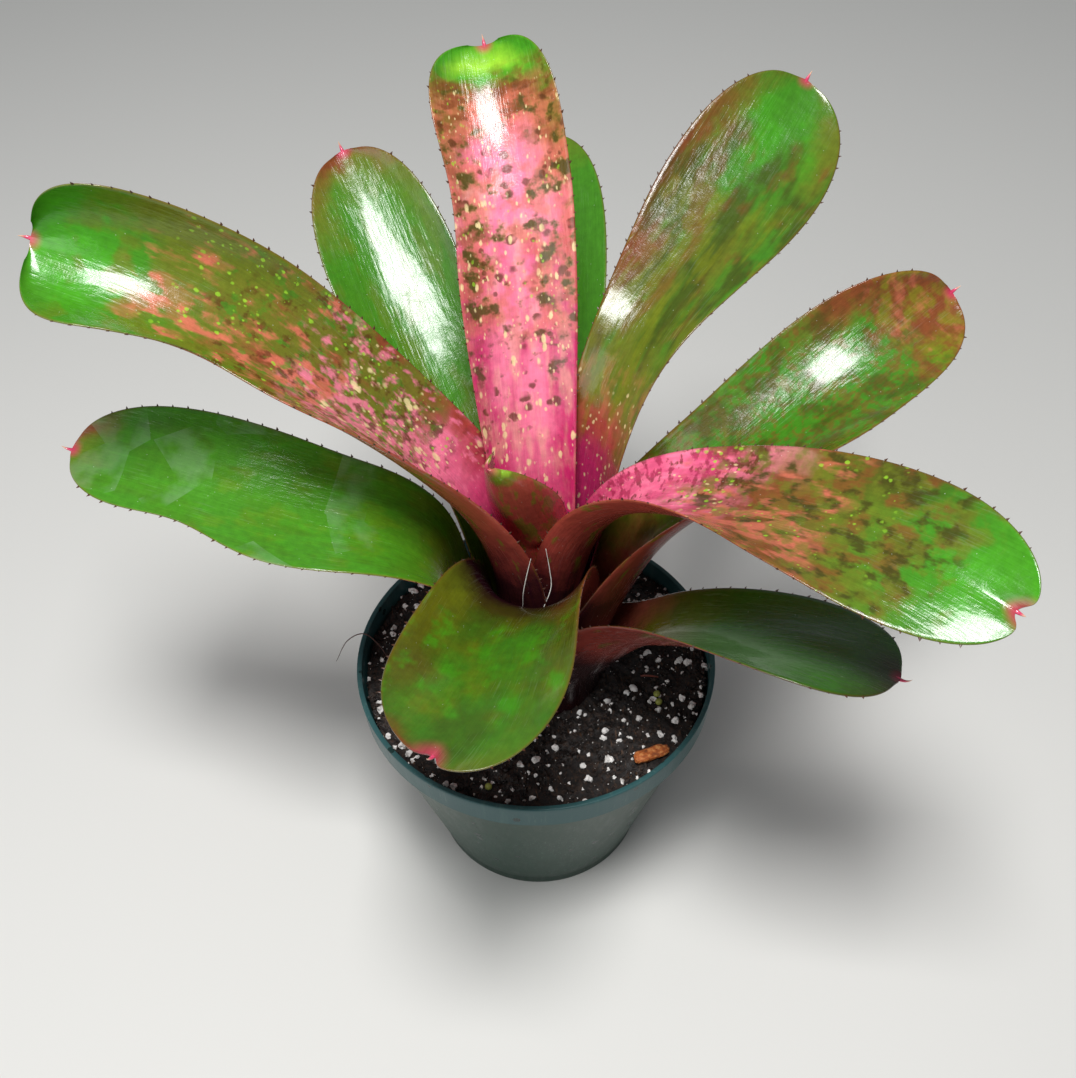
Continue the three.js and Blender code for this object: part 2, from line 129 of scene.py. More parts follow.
YOUNGEST_FIRST = list(LEAVES)


def ease(x):
    """0 up to 0 and 1 from 1 on, eased between."""
    s = np.clip(x, 0, 1)
    return s * s * (3 - 2 * s)


def mix(a, b, s):
    """a where s is 0 and b where it is 1."""
    return a + (b - a) * s


def leaf_values(name):
    """One leaf's values, and the common ones where it has none of its own."""
    foot = INNER_FOOT + FOOT_PITCH * YOUNGEST_FIRST.index(name)
    return {**PLAIN_LEAF, "foot": foot, **LEAVES[name]}


def midrib(leaf):
    """Places along the midrib in millimetres, with the blade's run, side and face there."""
    t = np.linspace(0, 1, MIDRIB_STEPS + 1)
    bent = ease((t - leaf["bend_at"] + BEND_SOFTNESS) / (2 * BEND_SOFTNESS))
    slope = np.radians(
        90 - (90 - leaf["rise"]) * ease(t / UPRIGHT_UNTIL) - leaf["bend"] * bent - leaf["droop"] * t * t)
    bearing = np.radians(leaf["turn"] + leaf["sweep"] * t + leaf["sway"] * np.sin(2 * np.pi * t))
    turned = np.radians(leaf["roll"] * t + leaf["twist"] * np.sin(np.pi * t))[:, None]
    run = np.stack([np.cos(slope) * np.cos(bearing), np.cos(slope) * np.sin(bearing), np.sin(slope)], 1)
    level = np.stack([-np.sin(bearing), np.cos(bearing), 0 * bearing], 1)
    up = np.cross(run, level)
    side = level * np.cos(turned) - up * np.sin(turned)
    face = up * np.cos(turned) + level * np.sin(turned)
    start = np.radians(leaf["turn"])
    foot = np.array([leaf["foot"] * np.cos(start), leaf["foot"] * np.sin(start), LEAF_FOOT / MM])
    steps = (run[1:] + run[:-1]) / 2 * leaf["length"] / MIDRIB_STEPS
    place = foot + np.vstack([np.zeros(3), np.cumsum(steps, axis=0)])
    return t, place, run, side, face


def width_at(leaf, t):
    """The width in millimetres, from foot to neck, out to the widest place and round the tip."""
    foot = 2 * leaf["foot"] * math.radians(leaf["wrap"])
    neck = leaf["neck"] * leaf["width"]
    low = mix(foot, neck, ease(t / leaf["neck_at"]))
    high = mix(neck, leaf["width"], ease((t - leaf["neck_at"]) / (leaf["widest_at"] - leaf["neck_at"])))
    x = np.clip((t - leaf["widest_at"]) / (1 - leaf["widest_at"]), 0, 1)
    tip = leaf["width"] * (1 - x ** leaf["blunt"]) ** (1 / leaf["blunt"])
    return np.where(t < leaf["neck_at"], low, np.where(t < leaf["widest_at"], high, tip))


def half_angle_at(leaf, t):
    """Half the cross section's angle, from the clasping sheath to the open blade."""
    blade = leaf["cup"] - leaf["flare"] * ease((t - 0.5) / 0.5)
    return np.radians(mix(leaf["wrap"], blade, ease(t / leaf["open_at"])))


def skin(leaf, t, v):
    """The blade's middle skin at rows t and columns v: places, normals and margin directions."""
    steps, *lines = midrib(leaf)
    place, run, side, face = [
        np.stack([np.interp(t, steps, line[:, k]) for k in range(3)], 1)[:, None, :] for line in lines]
    half = half_angle_at(leaf, t)[:, None]
    width = width_at(leaf, t)[:, None]
    dip = abs(leaf["waist"]) * np.exp(-(((t - WAIST_AT) / WAIST_SPREAD) ** 2))[:, None] * v * v
    dip = np.where(v * leaf["waist"] > 0, dip, 0)
    angle = (half * v * (1 - dip / np.maximum(width / 2, 1)))[..., None]
    radius = (width / 2 / half)[..., None]
    point = place + side * radius * np.sin(angle) + face * radius * (1 - np.cos(angle))
    normal = face * np.cos(angle) - side * np.sin(angle)
    outward = side * np.cos(angle) + face * np.sin(angle)
    arc = radius[..., 0] * angle[..., 0]
    return point, normal, outward, run + 0 * point, arc


# ---- nodes ------------------------------------------------------------------------------


def live_socket(sockets, name):
    """A socket by its number, or the one in use among those of that name."""
    if isinstance(name, int):
        return sockets[name]
    return next(s for s in sockets if s.name == name and s.enabled and not s.is_unavailable)


class Board:
    """Adds nodes to one tree. A socket is filled by a plain value or by another node's output."""

    def __init__(self, tree):
        self.tree = tree

    def add(self, kind, sockets=None, **settings):
        """A new node with these settings and inputs."""
        node = self.tree.nodes.new(kind)
        for name, value in settings.items():
            setattr(node, name, value)
        for name, value in (sockets or {}).items():
            self.fill(live_socket(node.inputs, name), value)
        return node

    def fill(self, socket, value):
        """Links an output to the socket, or sets a plain value on it."""
        if isinstance(value, bpy.types.NodeSocket):
            self.tree.links.new(value, socket)
        else:
            socket.default_value = value

    def out(self, kind, sockets=None, output=0, **settings):
        """One output of a new node."""
        node = self.add(kind, sockets, **settings)
        return live_socket(node.outputs, output)

    def math(self, operation, *values):
        return self.out("ShaderNodeMath", dict(enumerate(values)), operation=operation)

    def plus(self, first, second):
        return self.math("ADD", first, second)

    def minus(self, first, second):
        return self.math("SUBTRACT", first, second)

    def times(self, first, second):
        return self.math("MULTIPLY", first, second)

    def vector(self, operation, *values):
        return self.out("ShaderNodeVectorMath", dict(enumerate(values)), "Vector", operation=operation)

    def scaled(self, vector, factor):
        """A vector made longer or shorter by a factor."""
        return self.out("ShaderNodeVectorMath", {0: vector, "Scale": factor}, "Vector", operation="SCALE")

    def stretched(self, vector, scale, detail=2.0, rough=0.5):
        """Noise with its own scale along each of the vector's axes."""
        return self.noise(self.vector("MULTIPLY", vector, scale), 1.0, detail, rough)

    def cells(self, vector, across, along):
        """The vector counted in cells of that size across and along."""
        scale = self.out("ShaderNodeCombineXYZ", {
            "X": self.math("DIVIDE", 1.0, across), "Y": self.math("DIVIDE", 1.0, along), "Z": 1.0})
        return self.vector("MULTIPLY", vector, scale)

    def fade(self, value, start, end):
        """0 below start and 1 above end, eased between."""
        return self.out("ShaderNodeMapRange", {"Value": value, "From Min": start, "From Max": end},
                        "Result", interpolation_type="SMOOTHSTEP")

    def edge(self, value, level, softness):
        """0 below the level and 1 above it, eased for the softness on both sides of it."""
        return self.fade(value, self.minus(level, softness), self.plus(level, softness))

    def blend(self, factor, low, high):
        return self.out("ShaderNodeMix", {"Factor": factor, "A": low, "B": high}, "Result", data_type="RGBA")

    def over(self, colour, mask, amount, top):
        """The top colour laid over another where the mask is, by that amount at most."""
        return self.blend(self.times(mask, amount), colour, top)

    def lighten(self, colour, value):
        """A colour made lighter above 1 and darker below it."""
        return self.out("ShaderNodeHueSaturation", {"Color": colour, "Value": value}, "Color")

    def ramp(self, value, stops):
        """Colours at their places along a value."""
        node = self.add("ShaderNodeValToRGB", {"Fac": value})
        elements = node.color_ramp.elements
        while len(elements) < len(stops):
            elements.new(1)
        for element, (place, colour) in zip(elements, stops):
            element.position = place
            element.color = colour
        return node.outputs["Color"]

    def noise(self, vector, scale, detail=2.0, rough=0.5, output="Fac"):
        values = {"Vector": vector, "Scale": scale, "Detail": detail, "Roughness": rough}
        return self.out("ShaderNodeTexNoise", values, output)

    def dots(self, vector, scale):
        """The distance to the nearest of some strewn dots, and that dot's random colour."""
        node = self.add("ShaderNodeTexVoronoi", {"Vector": vector, "Scale": scale}, feature="F1")
        return node.outputs["Distance"], node.outputs["Color"]

    def channel(self, colour, name="Red"):
        """One channel of a colour, a number from 0 to 1."""
        return self.out("ShaderNodeSeparateColor", {"Color": colour}, name)

    def bump(self, height, strength, distance):
        return self.out("ShaderNodeBump", {"Height": height, "Strength": strength, "Distance": distance},
                        "Normal")

    def place(self):
        """Where a point lies on its object, in metres."""
        return self.out("ShaderNodeTexCoord", None, "Object")

    def attribute(self, name, output="Fac"):
        return self.out("ShaderNodeAttribute", None, output, attribute_name=name)

    def field(self, name, kind):
        """A mesh attribute in a geometry node tree."""
        return self.out("GeometryNodeInputNamedAttribute", {"Name": name}, "Attribute", data_type=kind)

    def chance(self, low, high, seed, kind="FLOAT"):
        """A random value for each point, between two others."""
        values = {"Min": low, "Max": high, "Seed": seed}
        return self.out("FunctionNodeRandomValue", values, "Value", data_type=kind)

    def group(self, tree, sockets, output):
        """One output of a node group placed in this tree."""
        node = self.tree.nodes.new(self.tree.bl_idname.replace("Tree", "Group"))
        node.node_tree = tree
        for name, value in sockets.items():
            self.fill(node.inputs[name], value)
        return node.outputs[output]


VECTOR, FLOAT, WHOLE = "NodeSocketVector", "NodeSocketFloat", "NodeSocketInt"
GEOMETRY, MATERIAL = "NodeSocketGeometry", "NodeSocketMaterial"


def make_group(name, kind, inputs, outputs):
    """A node group with named sockets: each is a name, a socket type and, for inputs, a default."""
    tree = bpy.data.node_groups.new(name, kind)
    for label, socket_type, default in inputs:
        socket = tree.interface.new_socket(label, in_out="INPUT", socket_type=socket_type)
        if default is not None:
            socket.default_value = default
    for label, socket_type in outputs:
        tree.interface.new_socket(label, in_out="OUTPUT", socket_type=socket_type)
    board = Board(tree)
    return board, board.add("NodeGroupInput").outputs, board.add("NodeGroupOutput").inputs


def spots_group():
    """Round or drawn-out spots, one in most cells, gathered in loose clusters."""
    board, given, result = make_group(
        "Leaf spots", "ShaderNodeTree",
        [("Sheet", VECTOR, None), ("Across", FLOAT, 6.0), ("Along", FLOAT, 6.0), ("Radius", FLOAT, 0.3),
         ("Softness", FLOAT, 0.08), ("Gathering", FLOAT, 0.45), ("Cluster Size", FLOAT, 25.0)],
        [("Mask", FLOAT)])
    cells = board.cells(given["Sheet"], given["Across"], given["Along"])
    wobble = board.noise(cells, 2.2, output="Color")
    wobble = board.vector("SUBTRACT", wobble, (0.5, 0.5, 0.5))
    wobble = board.vector("MULTIPLY", wobble, (0.35, 0.35, 0.0))
    distance, own = board.dots(board.vector("ADD", cells, wobble), 1.0)
    size = board.times(given["Radius"], board.plus(0.35, board.times(board.channel(own), 1.2)))
    outside = board.edge(distance, size, given["Softness"])
    cluster = board.noise(given["Sheet"], board.math("DIVIDE", 1.0, given["Cluster Size"]))
    gathered = board.edge(cluster, given["Gathering"], 0.05)
    board.fill(result["Mask"], board.times(board.minus(1.0, outside), gathered))
    return board.tree


def blotch_group():
    """Soft cloudy patches drawn out along or across the blade. Bias makes them denser."""
    board, given, result = make_group(
        "Leaf blotches", "ShaderNodeTree",
        [("Sheet", VECTOR, None), ("Across", FLOAT, 12.0), ("Along", FLOAT, 12.0), ("Level", FLOAT, 0.5),
         ("Softness", FLOAT, 0.1), ("Bias", FLOAT, 0.0)],
        [("Mask", FLOAT)])
    cells = board.cells(given["Sheet"], given["Across"], given["Along"])
    drift = board.plus(board.noise(cells, 1.0, 3.0, 0.52), given["Bias"])
    board.fill(result["Mask"], board.edge(drift, given["Level"], given["Softness"]))
    return board.tree


def stretch_group():
    """1 between two places along the leaf, with a ragged fade at each end."""
    board, given, result = make_group(
        "Leaf stretch", "ShaderNodeTree",
        [("Along", FLOAT, 0.0), ("Sheet", VECTOR, None), ("Start", FLOAT, 0.3), ("End", FLOAT, 0.8),
         ("Fade", FLOAT, 0.05), ("Ragged", FLOAT, 0.08)],
        [("Mask", FLOAT)])
    drift = board.minus(board.noise(given["Sheet"], 0.09, 3.0), 0.5)
    moved = board.plus(given["Along"], board.times(drift, board.times(given["Ragged"], 2.0)))
    rising = board.edge(moved, given["Start"], given["Fade"])
    falling = board.edge(moved, given["End"], given["Fade"])
    board.fill(result["Mask"], board.times(rising, board.minus(1.0, falling)))
    return board.tree


def grain_group():
    """The blade's fine lengthwise lines, soft unevenness, scuffs, dried film and dust specks."""
    board, given, result = make_group(
        "Leaf grain", "ShaderNodeTree",
        [("Sheet", VECTOR, None), ("Line Width", FLOAT, 0.8), ("Line Length", FLOAT, 40.0)],
        [("Height", FLOAT), ("Lines", FLOAT), ("Scuffs", FLOAT), ("Film", FLOAT), ("Specks", FLOAT)])
    sheet = given["Sheet"]
    lines = board.noise(board.cells(sheet, given["Line Width"], given["Line Length"]), 1.0, 3.0, 0.6)
    swell = board.noise(sheet, 0.09)
    pits = board.noise(sheet, 1.3, 1.0)
    crinkle = board.stretched(sheet, (0.4, 0.13, 1.0))
    height = board.plus(board.times(lines, 0.55), board.times(swell, 1.4))
    height = board.plus(height, board.times(crinkle, 1.3))
    height = board.plus(height, board.times(pits, 0.2))
    scuff = board.stretched(sheet, (1.1, 0.06, 1.0), 4.0, 0.65)
    scuffed = board.fade(board.noise(sheet, 0.035), 0.5, 0.66)
    own = board.channel(board.dots(sheet, 0.045)[1], "Green")
    thin = board.fade(board.noise(sheet, 0.08, 3.0), 0.35, 0.6)
    film = board.times(board.math("GREATER_THAN", own, 0.55), thin)
    speck = board.math("LESS_THAN", board.dots(sheet, 0.28)[0], 0.05)
    board.fill(result["Height"], height)
    board.fill(result["Lines"], lines)
    board.fill(result["Scuffs"], board.times(board.fade(scuff, 0.5, 0.72), scuffed))
    board.fill(result["Film"], film)
    board.fill(result["Specks"], speck)
    return board.tree


def shared(name, builder):
    """A node group by name, built the first time that it is asked for."""
    return bpy.data.node_groups.get(name) or builder()


def new_material(name):
    """A material that holds only its shader, the board to add nodes with, and the shader."""
    material = bpy.data.materials.new(name)
    material.use_nodes = True
    material.node_tree.nodes.clear()
    board = Board(material.node_tree)
    shader = board.add("ShaderNodeBsdfPrincipled")
    board.add("ShaderNodeOutputMaterial", {"Surface": shader.outputs[0]})
    return material, board, shader


def finish_shader(board, shader, **sockets):
    """Fills the shader's sockets, whose names are written with underscores here."""
    for name, value in sockets.items():
        board.fill(shader.inputs[name.replace("_", " ")], value)


# ---- colours ----------------------------------------------------------------------------


def tint(code):
    """A linear colour from a display colour written as six hex digits."""
    parts = [int(code[k:k + 2], 16) / 255 for k in (0, 2, 4)]
    return tuple(c / 12.92 if c <= 0.04045 else ((c + 0.055) / 1.055) ** 2.4 for c in parts)


def opaque(colour):
    """A colour with full alpha, from a linear colour or from six hex digits."""
    return (*(tint(colour) if isinstance(colour, str) else colour), 1.0)


def colour_property(label, text, code):
    """A colour setting whose default is written as six hex digits."""
    return bpy.props.FloatVectorProperty(
        name=label, description=text, subtype="COLOR", size=3, min=0, max=1, default=tint(code))


# ---- settings ---------------------------------------------------------------------------


class LeafSettings(bpy.types.PropertyGroup):
    """Mesh, spines and colours of the leaves"""
    rows: bpy.props.IntProperty(
        name="Rows", description="Rows of faces along a blade", default=150, min=40)
    columns: bpy.props.IntProperty(
        name="Columns", description="Columns of faces across a blade", default=32, min=8)
    spine_spacing: bpy.props.FloatProperty(
        name="Spine spacing", description="Distance between marginal spines",
        default=0.006, min=0.002, unit="LENGTH")
    spine_length: bpy.props.FloatProperty(
        name="Spine length", description="How far a spine stands out of the margin",
        default=0.0011, min=0.0005, unit="LENGTH")
    mucro_length: bpy.props.FloatProperty(
        name="Mucro length", description="Length of the hard point at the tip",
        default=0.0045, min=0.001, unit="LENGTH")
    green: colour_property("Green", "Main green of the older leaves", "40801a")
    fresh: colour_property("Fresh green", "Bright green near the tips", "429616")
    olive: colour_property("Olive", "Dark olive of spots and bars", "403e0e")
    bronze: colour_property("Bronze", "Red brown cores of the spots on pink", "54300e")
    moss: colour_property("Moss", "Olive green between blush and green", "64701a")
    rose: colour_property("Rose", "Pink of the inner leaves", "f67e9e")
    magenta: colour_property("Magenta", "Deeper pink near the base", "c62c68")
    salmon: colour_property("Salmon", "Orange pink where rose meets green", "cc6c54")
    amber: colour_property("Amber", "Yellow brown clouds", "767e12")
    fleck: colour_property("Fleck", "Pale yellow flecks", "f4e0a4")
    lime: colour_property("Lime", "Yellow green dots and tip", "94cc30")
    brick: colour_property("Brick", "Red brown of the outer faces", "a8443a")
    umber: colour_property("Umber", "Brown red of the blushed margins", "7c4220")
    sheath: colour_property("Sheath", "Dark maroon deep in the rosette", "30101a")
    point: colour_property("Point", "Red of the mucro", "c8265a")


class PotSettings(bpy.types.PropertyGroup):
    """Sizes and colour of the pot"""
    plastic: colour_property("Plastic", "Dark green of the pot", "1a382b")
    lip_height: bpy.props.FloatProperty(
        name="Lip height", description="Height of the band under the rim",
        default=0.013, min=0.001, unit="LENGTH")
    wall: bpy.props.FloatProperty(
        name="Wall", description="Thickness of the pot's wall", default=0.0016, min=0.0005, unit="LENGTH")


class SoilSettings(bpy.types.PropertyGroup):
    """Colours of the soil and how thickly its grains lie"""
    peat: colour_property("Peat", "Dark brown of damp peat", "170f0b")
    perlite: colour_property("Perlite", "White of the perlite grains", "f0eeea")
    bark: colour_property("Bark", "Orange brown of the bark chip", "a8561f")
    crumb_density: bpy.props.FloatProperty(
        name="Crumbs", description="Peat crumbs to a square metre", default=330000, min=0)
    perlite_density: bpy.props.FloatProperty(
        name="Perlite", description="Perlite grains to a square metre", default=34000, min=0)
    # The perlite dust's white specks are partly real dust and partly painted glints on the soil.
    dust_density: bpy.props.FloatProperty(
        name="Perlite dust", description="Specks of perlite to a square metre", default=70000, min=0)


class StageSettings(bpy.types.PropertyGroup):
    """Camera, floor and light"""
    # The camera's place, pitch, roll and lens are a least-squares solve's results, rounded.
    camera_place: bpy.props.FloatVectorProperty(
        name="Camera place", description="Where the camera stands", subtype="TRANSLATION",
        size=3, default=(0.00188, -0.3574, 0.5625))
    camera_pitch: bpy.props.FloatProperty(
        name="Camera pitch", description="How far the camera looks down",
        subtype="ANGLE", default=math.radians(46.62))
    camera_roll: bpy.props.FloatProperty(
        name="Camera roll", description="How far the camera leans anticlockwise",
        subtype="ANGLE", default=math.radians(-1.07))
    lens: bpy.props.FloatProperty(
        name="Lens", description="Focal length on a 36 mm frame", default=44.16, min=10, unit="CAMERA")
    floor: colour_property("Floor", "Plain pale floor", "d9d8d4")
    key_power: bpy.props.FloatProperty(
        name="Key power", description="Power of the main light", default=16, unit="POWER")


# ---- meshes -----------------------------------------------------------------------------


def new_object(name, points, faces):
    """A mesh object at the origin, from points in metres."""
    mesh = bpy.data.meshes.new(name)
    mesh.from_pydata([tuple(p) for p in points], [], faces)
    mesh.validate()
    mesh.update()
    mesh.polygons.foreach_set("use_smooth", [True] * len(mesh.polygons))
    thing = bpy.data.objects.new(name, mesh)
    bpy.context.scene.collection.objects.link(thing)
    return thing


def set_attribute(mesh, name, kind, values):
    """A point attribute, with one value or vector for each vertex."""
    key = "vector" if kind == "FLOAT_VECTOR" else "value"
    mesh.attributes.new(name, kind, "POINT").data.foreach_set(key, np.asarray(values).ravel())


def settle(thing):
    """Turns an object and its modifiers into one plain mesh."""
    bpy.context.view_layer.update()
    evaluated = thing.evaluated_get(bpy.context.evaluated_depsgraph_get())
    mesh = bpy.data.meshes.new_from_object(evaluated)
    thing.modifiers.clear()
    old = thing.data
    thing.data = mesh
    bpy.data.meshes.remove(old)
    mesh.name = thing.name


def circle(sides, radius=1.0):
    """Points round a circle about the origin, anticlockwise."""
    turns = [2 * math.pi * k / sides for k in range(sides)]
    return [(radius * math.cos(turn), radius * math.sin(turn)) for turn in turns]


def ring_quads(base, sides, inward=False):
    """The quads between the ring of points that starts at base and the ring after it."""
    quads = []
    for k in range(sides):
        after = (k + 1) % sides
        low, high = (base + k, base + after), (base + sides + k, base + sides + after)
        quads.append((low[0], high[0], high[1], low[1]) if inward else (*low, high[1], high[0]))
    return quads


def tube_faces(rings, sides, base=0, inward=False):
    """The quads of a run of rings, and the caps on its two ends."""
    faces = [quad for ring in range(rings - 1) for quad in ring_quads(base + ring * sides, sides, inward)]
    first = tuple(range(base, base + sides))
    last = tuple(range(base + (rings - 1) * sides, base + rings * sides))
    return faces + ([first, last[::-1]] if inward else [first[::-1], last])


def lathe(name, profile, segments):
    """Revolves a closed profile of radius and height pairs that starts and ends on the axis."""
    points = [(0, 0, profile[0][1]), (0, 0, profile[-1][1])]
    rings = profile[1:-1]
    for radius, height in rings:
        points += [(x, y, height) for x, y in circle(segments, radius)]
    faces = []
    for k in range(segments):
        after = (k + 1) % segments
        faces.append((0, 2 + after, 2 + k))
        last = 2 + (len(rings) - 1) * segments
        faces.append((1, last + k, last + after))
        for ring in range(len(rings) - 1):
            low = 2 + ring * segments
            high = low + segments
            faces.append((low + k, low + after, high + after, high + k))
    return new_object(name, points, faces)


def join(name, things):
    """Joins objects into the first, which keeps its attributes and takes the name."""
    with bpy.context.temp_override(
            active_object=things[0], selected_objects=things, selected_editable_objects=things):
        bpy.ops.object.join()
    things[0].name = name
    things[0].data.name = name
    return things[0]


def add_tree(thing, tree, values):
    """Puts a geometry node tree on an object, with its named inputs set by their identifiers."""
    modifier = thing.modifiers.new(tree.name, "NODES")
    modifier.node_group = tree
    for item in tree.interface.items_tree:
        if item.item_type == "SOCKET" and item.in_out == "INPUT" and item.name in values:
            modifier[item.identifier] = values[item.name]


def dress(thing, materials, replaced=()):
    """Gives a finished piece its materials and its body, and hides the solids that it stands for."""
    for material in materials:
        thing.data.materials.append(material)
    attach(thing, "root")
    if replaced:
        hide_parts(*replaced)


# ---- spines -----------------------------------------------------------------------------

SPINES_FROM, SPINES_UNTIL = 0.2, 0.96
SPINE_LEAN = 0.55
SPINE_ROOT, SPINE_END = 0.00032, 0.00002
SPINE_FLATTENING = (1.6, 0.8, 1.0)
SMALLEST_SPINE, LARGEST_SPINE = 0.55, 1.25


def spine_tree():
    """Sets spines along the margin of the blade that it is given."""
    board, given, result = make_group(
        "Margin spines", "GeometryNodeTree",
        [("Geometry", GEOMETRY, None), ("Spacing", FLOAT, 0.0085), ("Length", FLOAT, 0.0017),
         ("Seed", WHOLE, 0), ("Material", MATERIAL, None)],
        [("Geometry", GEOMETRY)])
    margin = board.field("margin", "BOOLEAN")
    outward = board.field("outward", "FLOAT_VECTOR")
    curve = board.out("GeometryNodeMeshToCurve", {"Mesh": given["Geometry"], "Selection": margin})
    curve = board.out("GeometryNodeResampleCurve", {"Curve": curve, "Length": given["Spacing"]},
                      mode="LENGTH")
    tangent = board.out("GeometryNodeInputTangent")
    lean = board.scaled(board.field("forward", "FLOAT_VECTOR"), SPINE_LEAN)
    aim = board.vector("ADD", outward, lean)
    turn = board.out("FunctionNodeAlignRotationToVector", {"Vector": aim}, axis="Z")
    turn = board.out("FunctionNodeAlignRotationToVector", {"Rotation": turn, "Vector": tangent},
                     axis="X", pivot_axis="Z")
    size = board.chance(SMALLEST_SPINE, LARGEST_SPINE, given["Seed"])
    spine = board.out("GeometryNodeMeshCone", {
        "Vertices": 6, "Side Segments": 2, "Radius Top": SPINE_END, "Radius Bottom": SPINE_ROOT,
        "Depth": given["Length"]}, "Mesh")
    spine = board.out("GeometryNodeTransform", {"Geometry": spine, "Scale": SPINE_FLATTENING})
    placed = board.out("GeometryNodeInstanceOnPoints", {
        "Points": curve, "Instance": spine, "Rotation": turn, "Scale": size})
    placed = board.out("GeometryNodeRealizeInstances", {"Geometry": placed})
    placed = board.out("GeometryNodeSetMaterial", {"Geometry": placed, "Material": given["Material"]})
    joined = board.add("GeometryNodeJoinGeometry")
    board.fill(joined.inputs[0], placed)
    board.fill(joined.inputs[0], given["Geometry"])
    board.fill(result["Geometry"], joined.outputs[0])
    return board.tree


# ---- leaf shapes ------------------------------------------------------------------------

# Lengths in millimetres. A blade's rows crowd towards its tip. The ripple's scales are to a
# millimetre, and each leaf takes its own part of the ripple and of the painted patterns.
TIP_CROWDING = 1.9
LAST_ROW = 0.9992
NOTCH_WIDTH, NOTCH_REACH = 3.5, 12.0
RIPPLE_HEIGHT, RIPPLE_FROM = 0.8, 0.3
RIPPLE_ACROSS, RIPPLE_ALONG, RIPPLE_APART = 0.06, 0.028, 7.0
MARGIN_BULGE = EDGE_THICK * 0.45
PATTERN_APART = 40.0

# The hard point: its root's and end's radii in metres, its depth against its width, how far
# its root is sunk and how long it is against the length in the settings, and its curl.
MUCRO_STEPS, MUCRO_SIDES = 16, 12
MUCRO_ROOT, MUCRO_END = 0.0011, 0.00004
MUCRO_DEPTH = 0.7
MUCRO_SUNK, MUCRO_LONG = 0.5, 1.5
MUCRO_CURL, MUCRO_STRAIGHT_UNTIL = 1.75, 0.25


def draw_tip_in(leaf, t, arc, point, normal, run):
    """Draws the tip in or out and folds it at the midrib, where the hard point stands."""
    left = (1 - t)[:, None] * leaf["length"]
    close = np.exp(-((arc / NOTCH_WIDTH) ** 2)) * np.exp(-left / NOTCH_REACH)
    return point - run * (leaf["notch"] * close)[..., None] - normal * (leaf["crease"] * close)[..., None]


def rippled(leaf, seed, t, arc, point, normal):
    """The blade with its slow unevenness, which grows in over the lowest third."""
    ripple = np.array([[noise.noise(Vector((a * RIPPLE_ACROSS, b * RIPPLE_ALONG, RIPPLE_APART * seed)))
                        for a in row] for row, b in zip(arc, t * leaf["length"])])
    return point + normal * (ripple * RIPPLE_HEIGHT * ease(t / RIPPLE_FROM)[:, None])[..., None]


def round_shell(upper, right=None, lower=None, left=None):
    """Rows of values round the shell: upper face, right margin, lower face, left margin.

    What isn't given is the upper face's own, at its margin or turned over."""
    return np.concatenate([
        upper, upper[:, -1:] if right is None else right, upper[:, ::-1] if lower is None else lower,
        upper[:, :1] if left is None else left], axis=1)


def blade_faces(rows, columns):
    """The shell's faces: quads from row to row, then the foot's and the tip's closing faces."""
    size = 2 * columns + 2
    faces = [quad for row in range(rows - 1) for quad in ring_quads(row * size, size)]
    for base, tip in ((0, False), ((rows - 1) * size, True)):
        closing = [(base + k, base + k + 1, base + 2 * columns - 1 - k, base + 2 * columns - k)
                   for k in range(columns - 1)]
        closing += [(base + columns - 1, base + columns, base + columns + 1),
                    (base + 2 * columns + 1, base, base + 2 * columns)]
        faces += [face if tip else face[::-1] for face in closing]
    return faces


def blade_mesh(name, settings):
    """The blade and sheath as one closed shell with a round margin, and the attributes it carries.

    Also gives the place, run and normal at the tip's middle, where the hard point goes."""
    leaf = leaf_values(name)
    seed = YOUNGEST_FIRST.index(name)
    t = (1 - (1 - np.linspace(0, 1, settings.rows)) ** TIP_CROWDING) * LAST_ROW
    v = np.linspace(-1, 1, settings.columns + 1)[None, :]
    point, normal, outward, run, arc = skin(leaf, t, v)
    point = rippled(leaf, seed, t, arc, point, normal)
    point = draw_tip_in(leaf, t, arc, point, normal, run)
    thick = mix(mix(BASE_THICK, TIP_THICK, t)[:, None], EDGE_THICK, v * v)[..., None] / 2
    shell = round_shell(point + normal * thick, (point + outward * MARGIN_BULGE)[:, -1:],
                        (point - normal * thick)[:, ::-1], (point - outward * MARGIN_BULGE)[:, :1])
    columns, size = settings.columns + 1, shell.shape[1]
    blade = new_object(name + "_blade", shell.reshape(-1, 3) * MM, blade_faces(settings.rows, columns))
    along = np.repeat(t[:, None], size, axis=1)
    under = np.concatenate([np.zeros(columns), [0.5], np.ones(columns), [0.5]])
    sheet = [round_shell(arc), along * leaf["length"], np.full(along.shape, PATTERN_APART * seed)]
    rim = np.zeros(size, bool)
    rim[[columns, size - 1]] = True
    spiny = rim[None, :] & ((t > SPINES_FROM) & (t < SPINES_UNTIL))[:, None]
    for label, kind, values in (
            ("along", "FLOAT", along),
            ("across", "FLOAT", round_shell(np.repeat(v, settings.rows, axis=0))),
            ("under", "FLOAT", np.tile(under, (settings.rows, 1))),
            ("sheet", "FLOAT_VECTOR", np.stack(sheet, -1)),
            ("outward", "FLOAT_VECTOR", round_shell(outward, left=-outward[:, :1])),
            ("forward", "FLOAT_VECTOR", round_shell(run)),
            ("margin", "BOOLEAN", spiny)):
        set_attribute(blade.data, label, kind, values)
    middle = columns // 2
    return blade, point[-1, middle] * MM, run[-1, middle], normal[-1, middle]


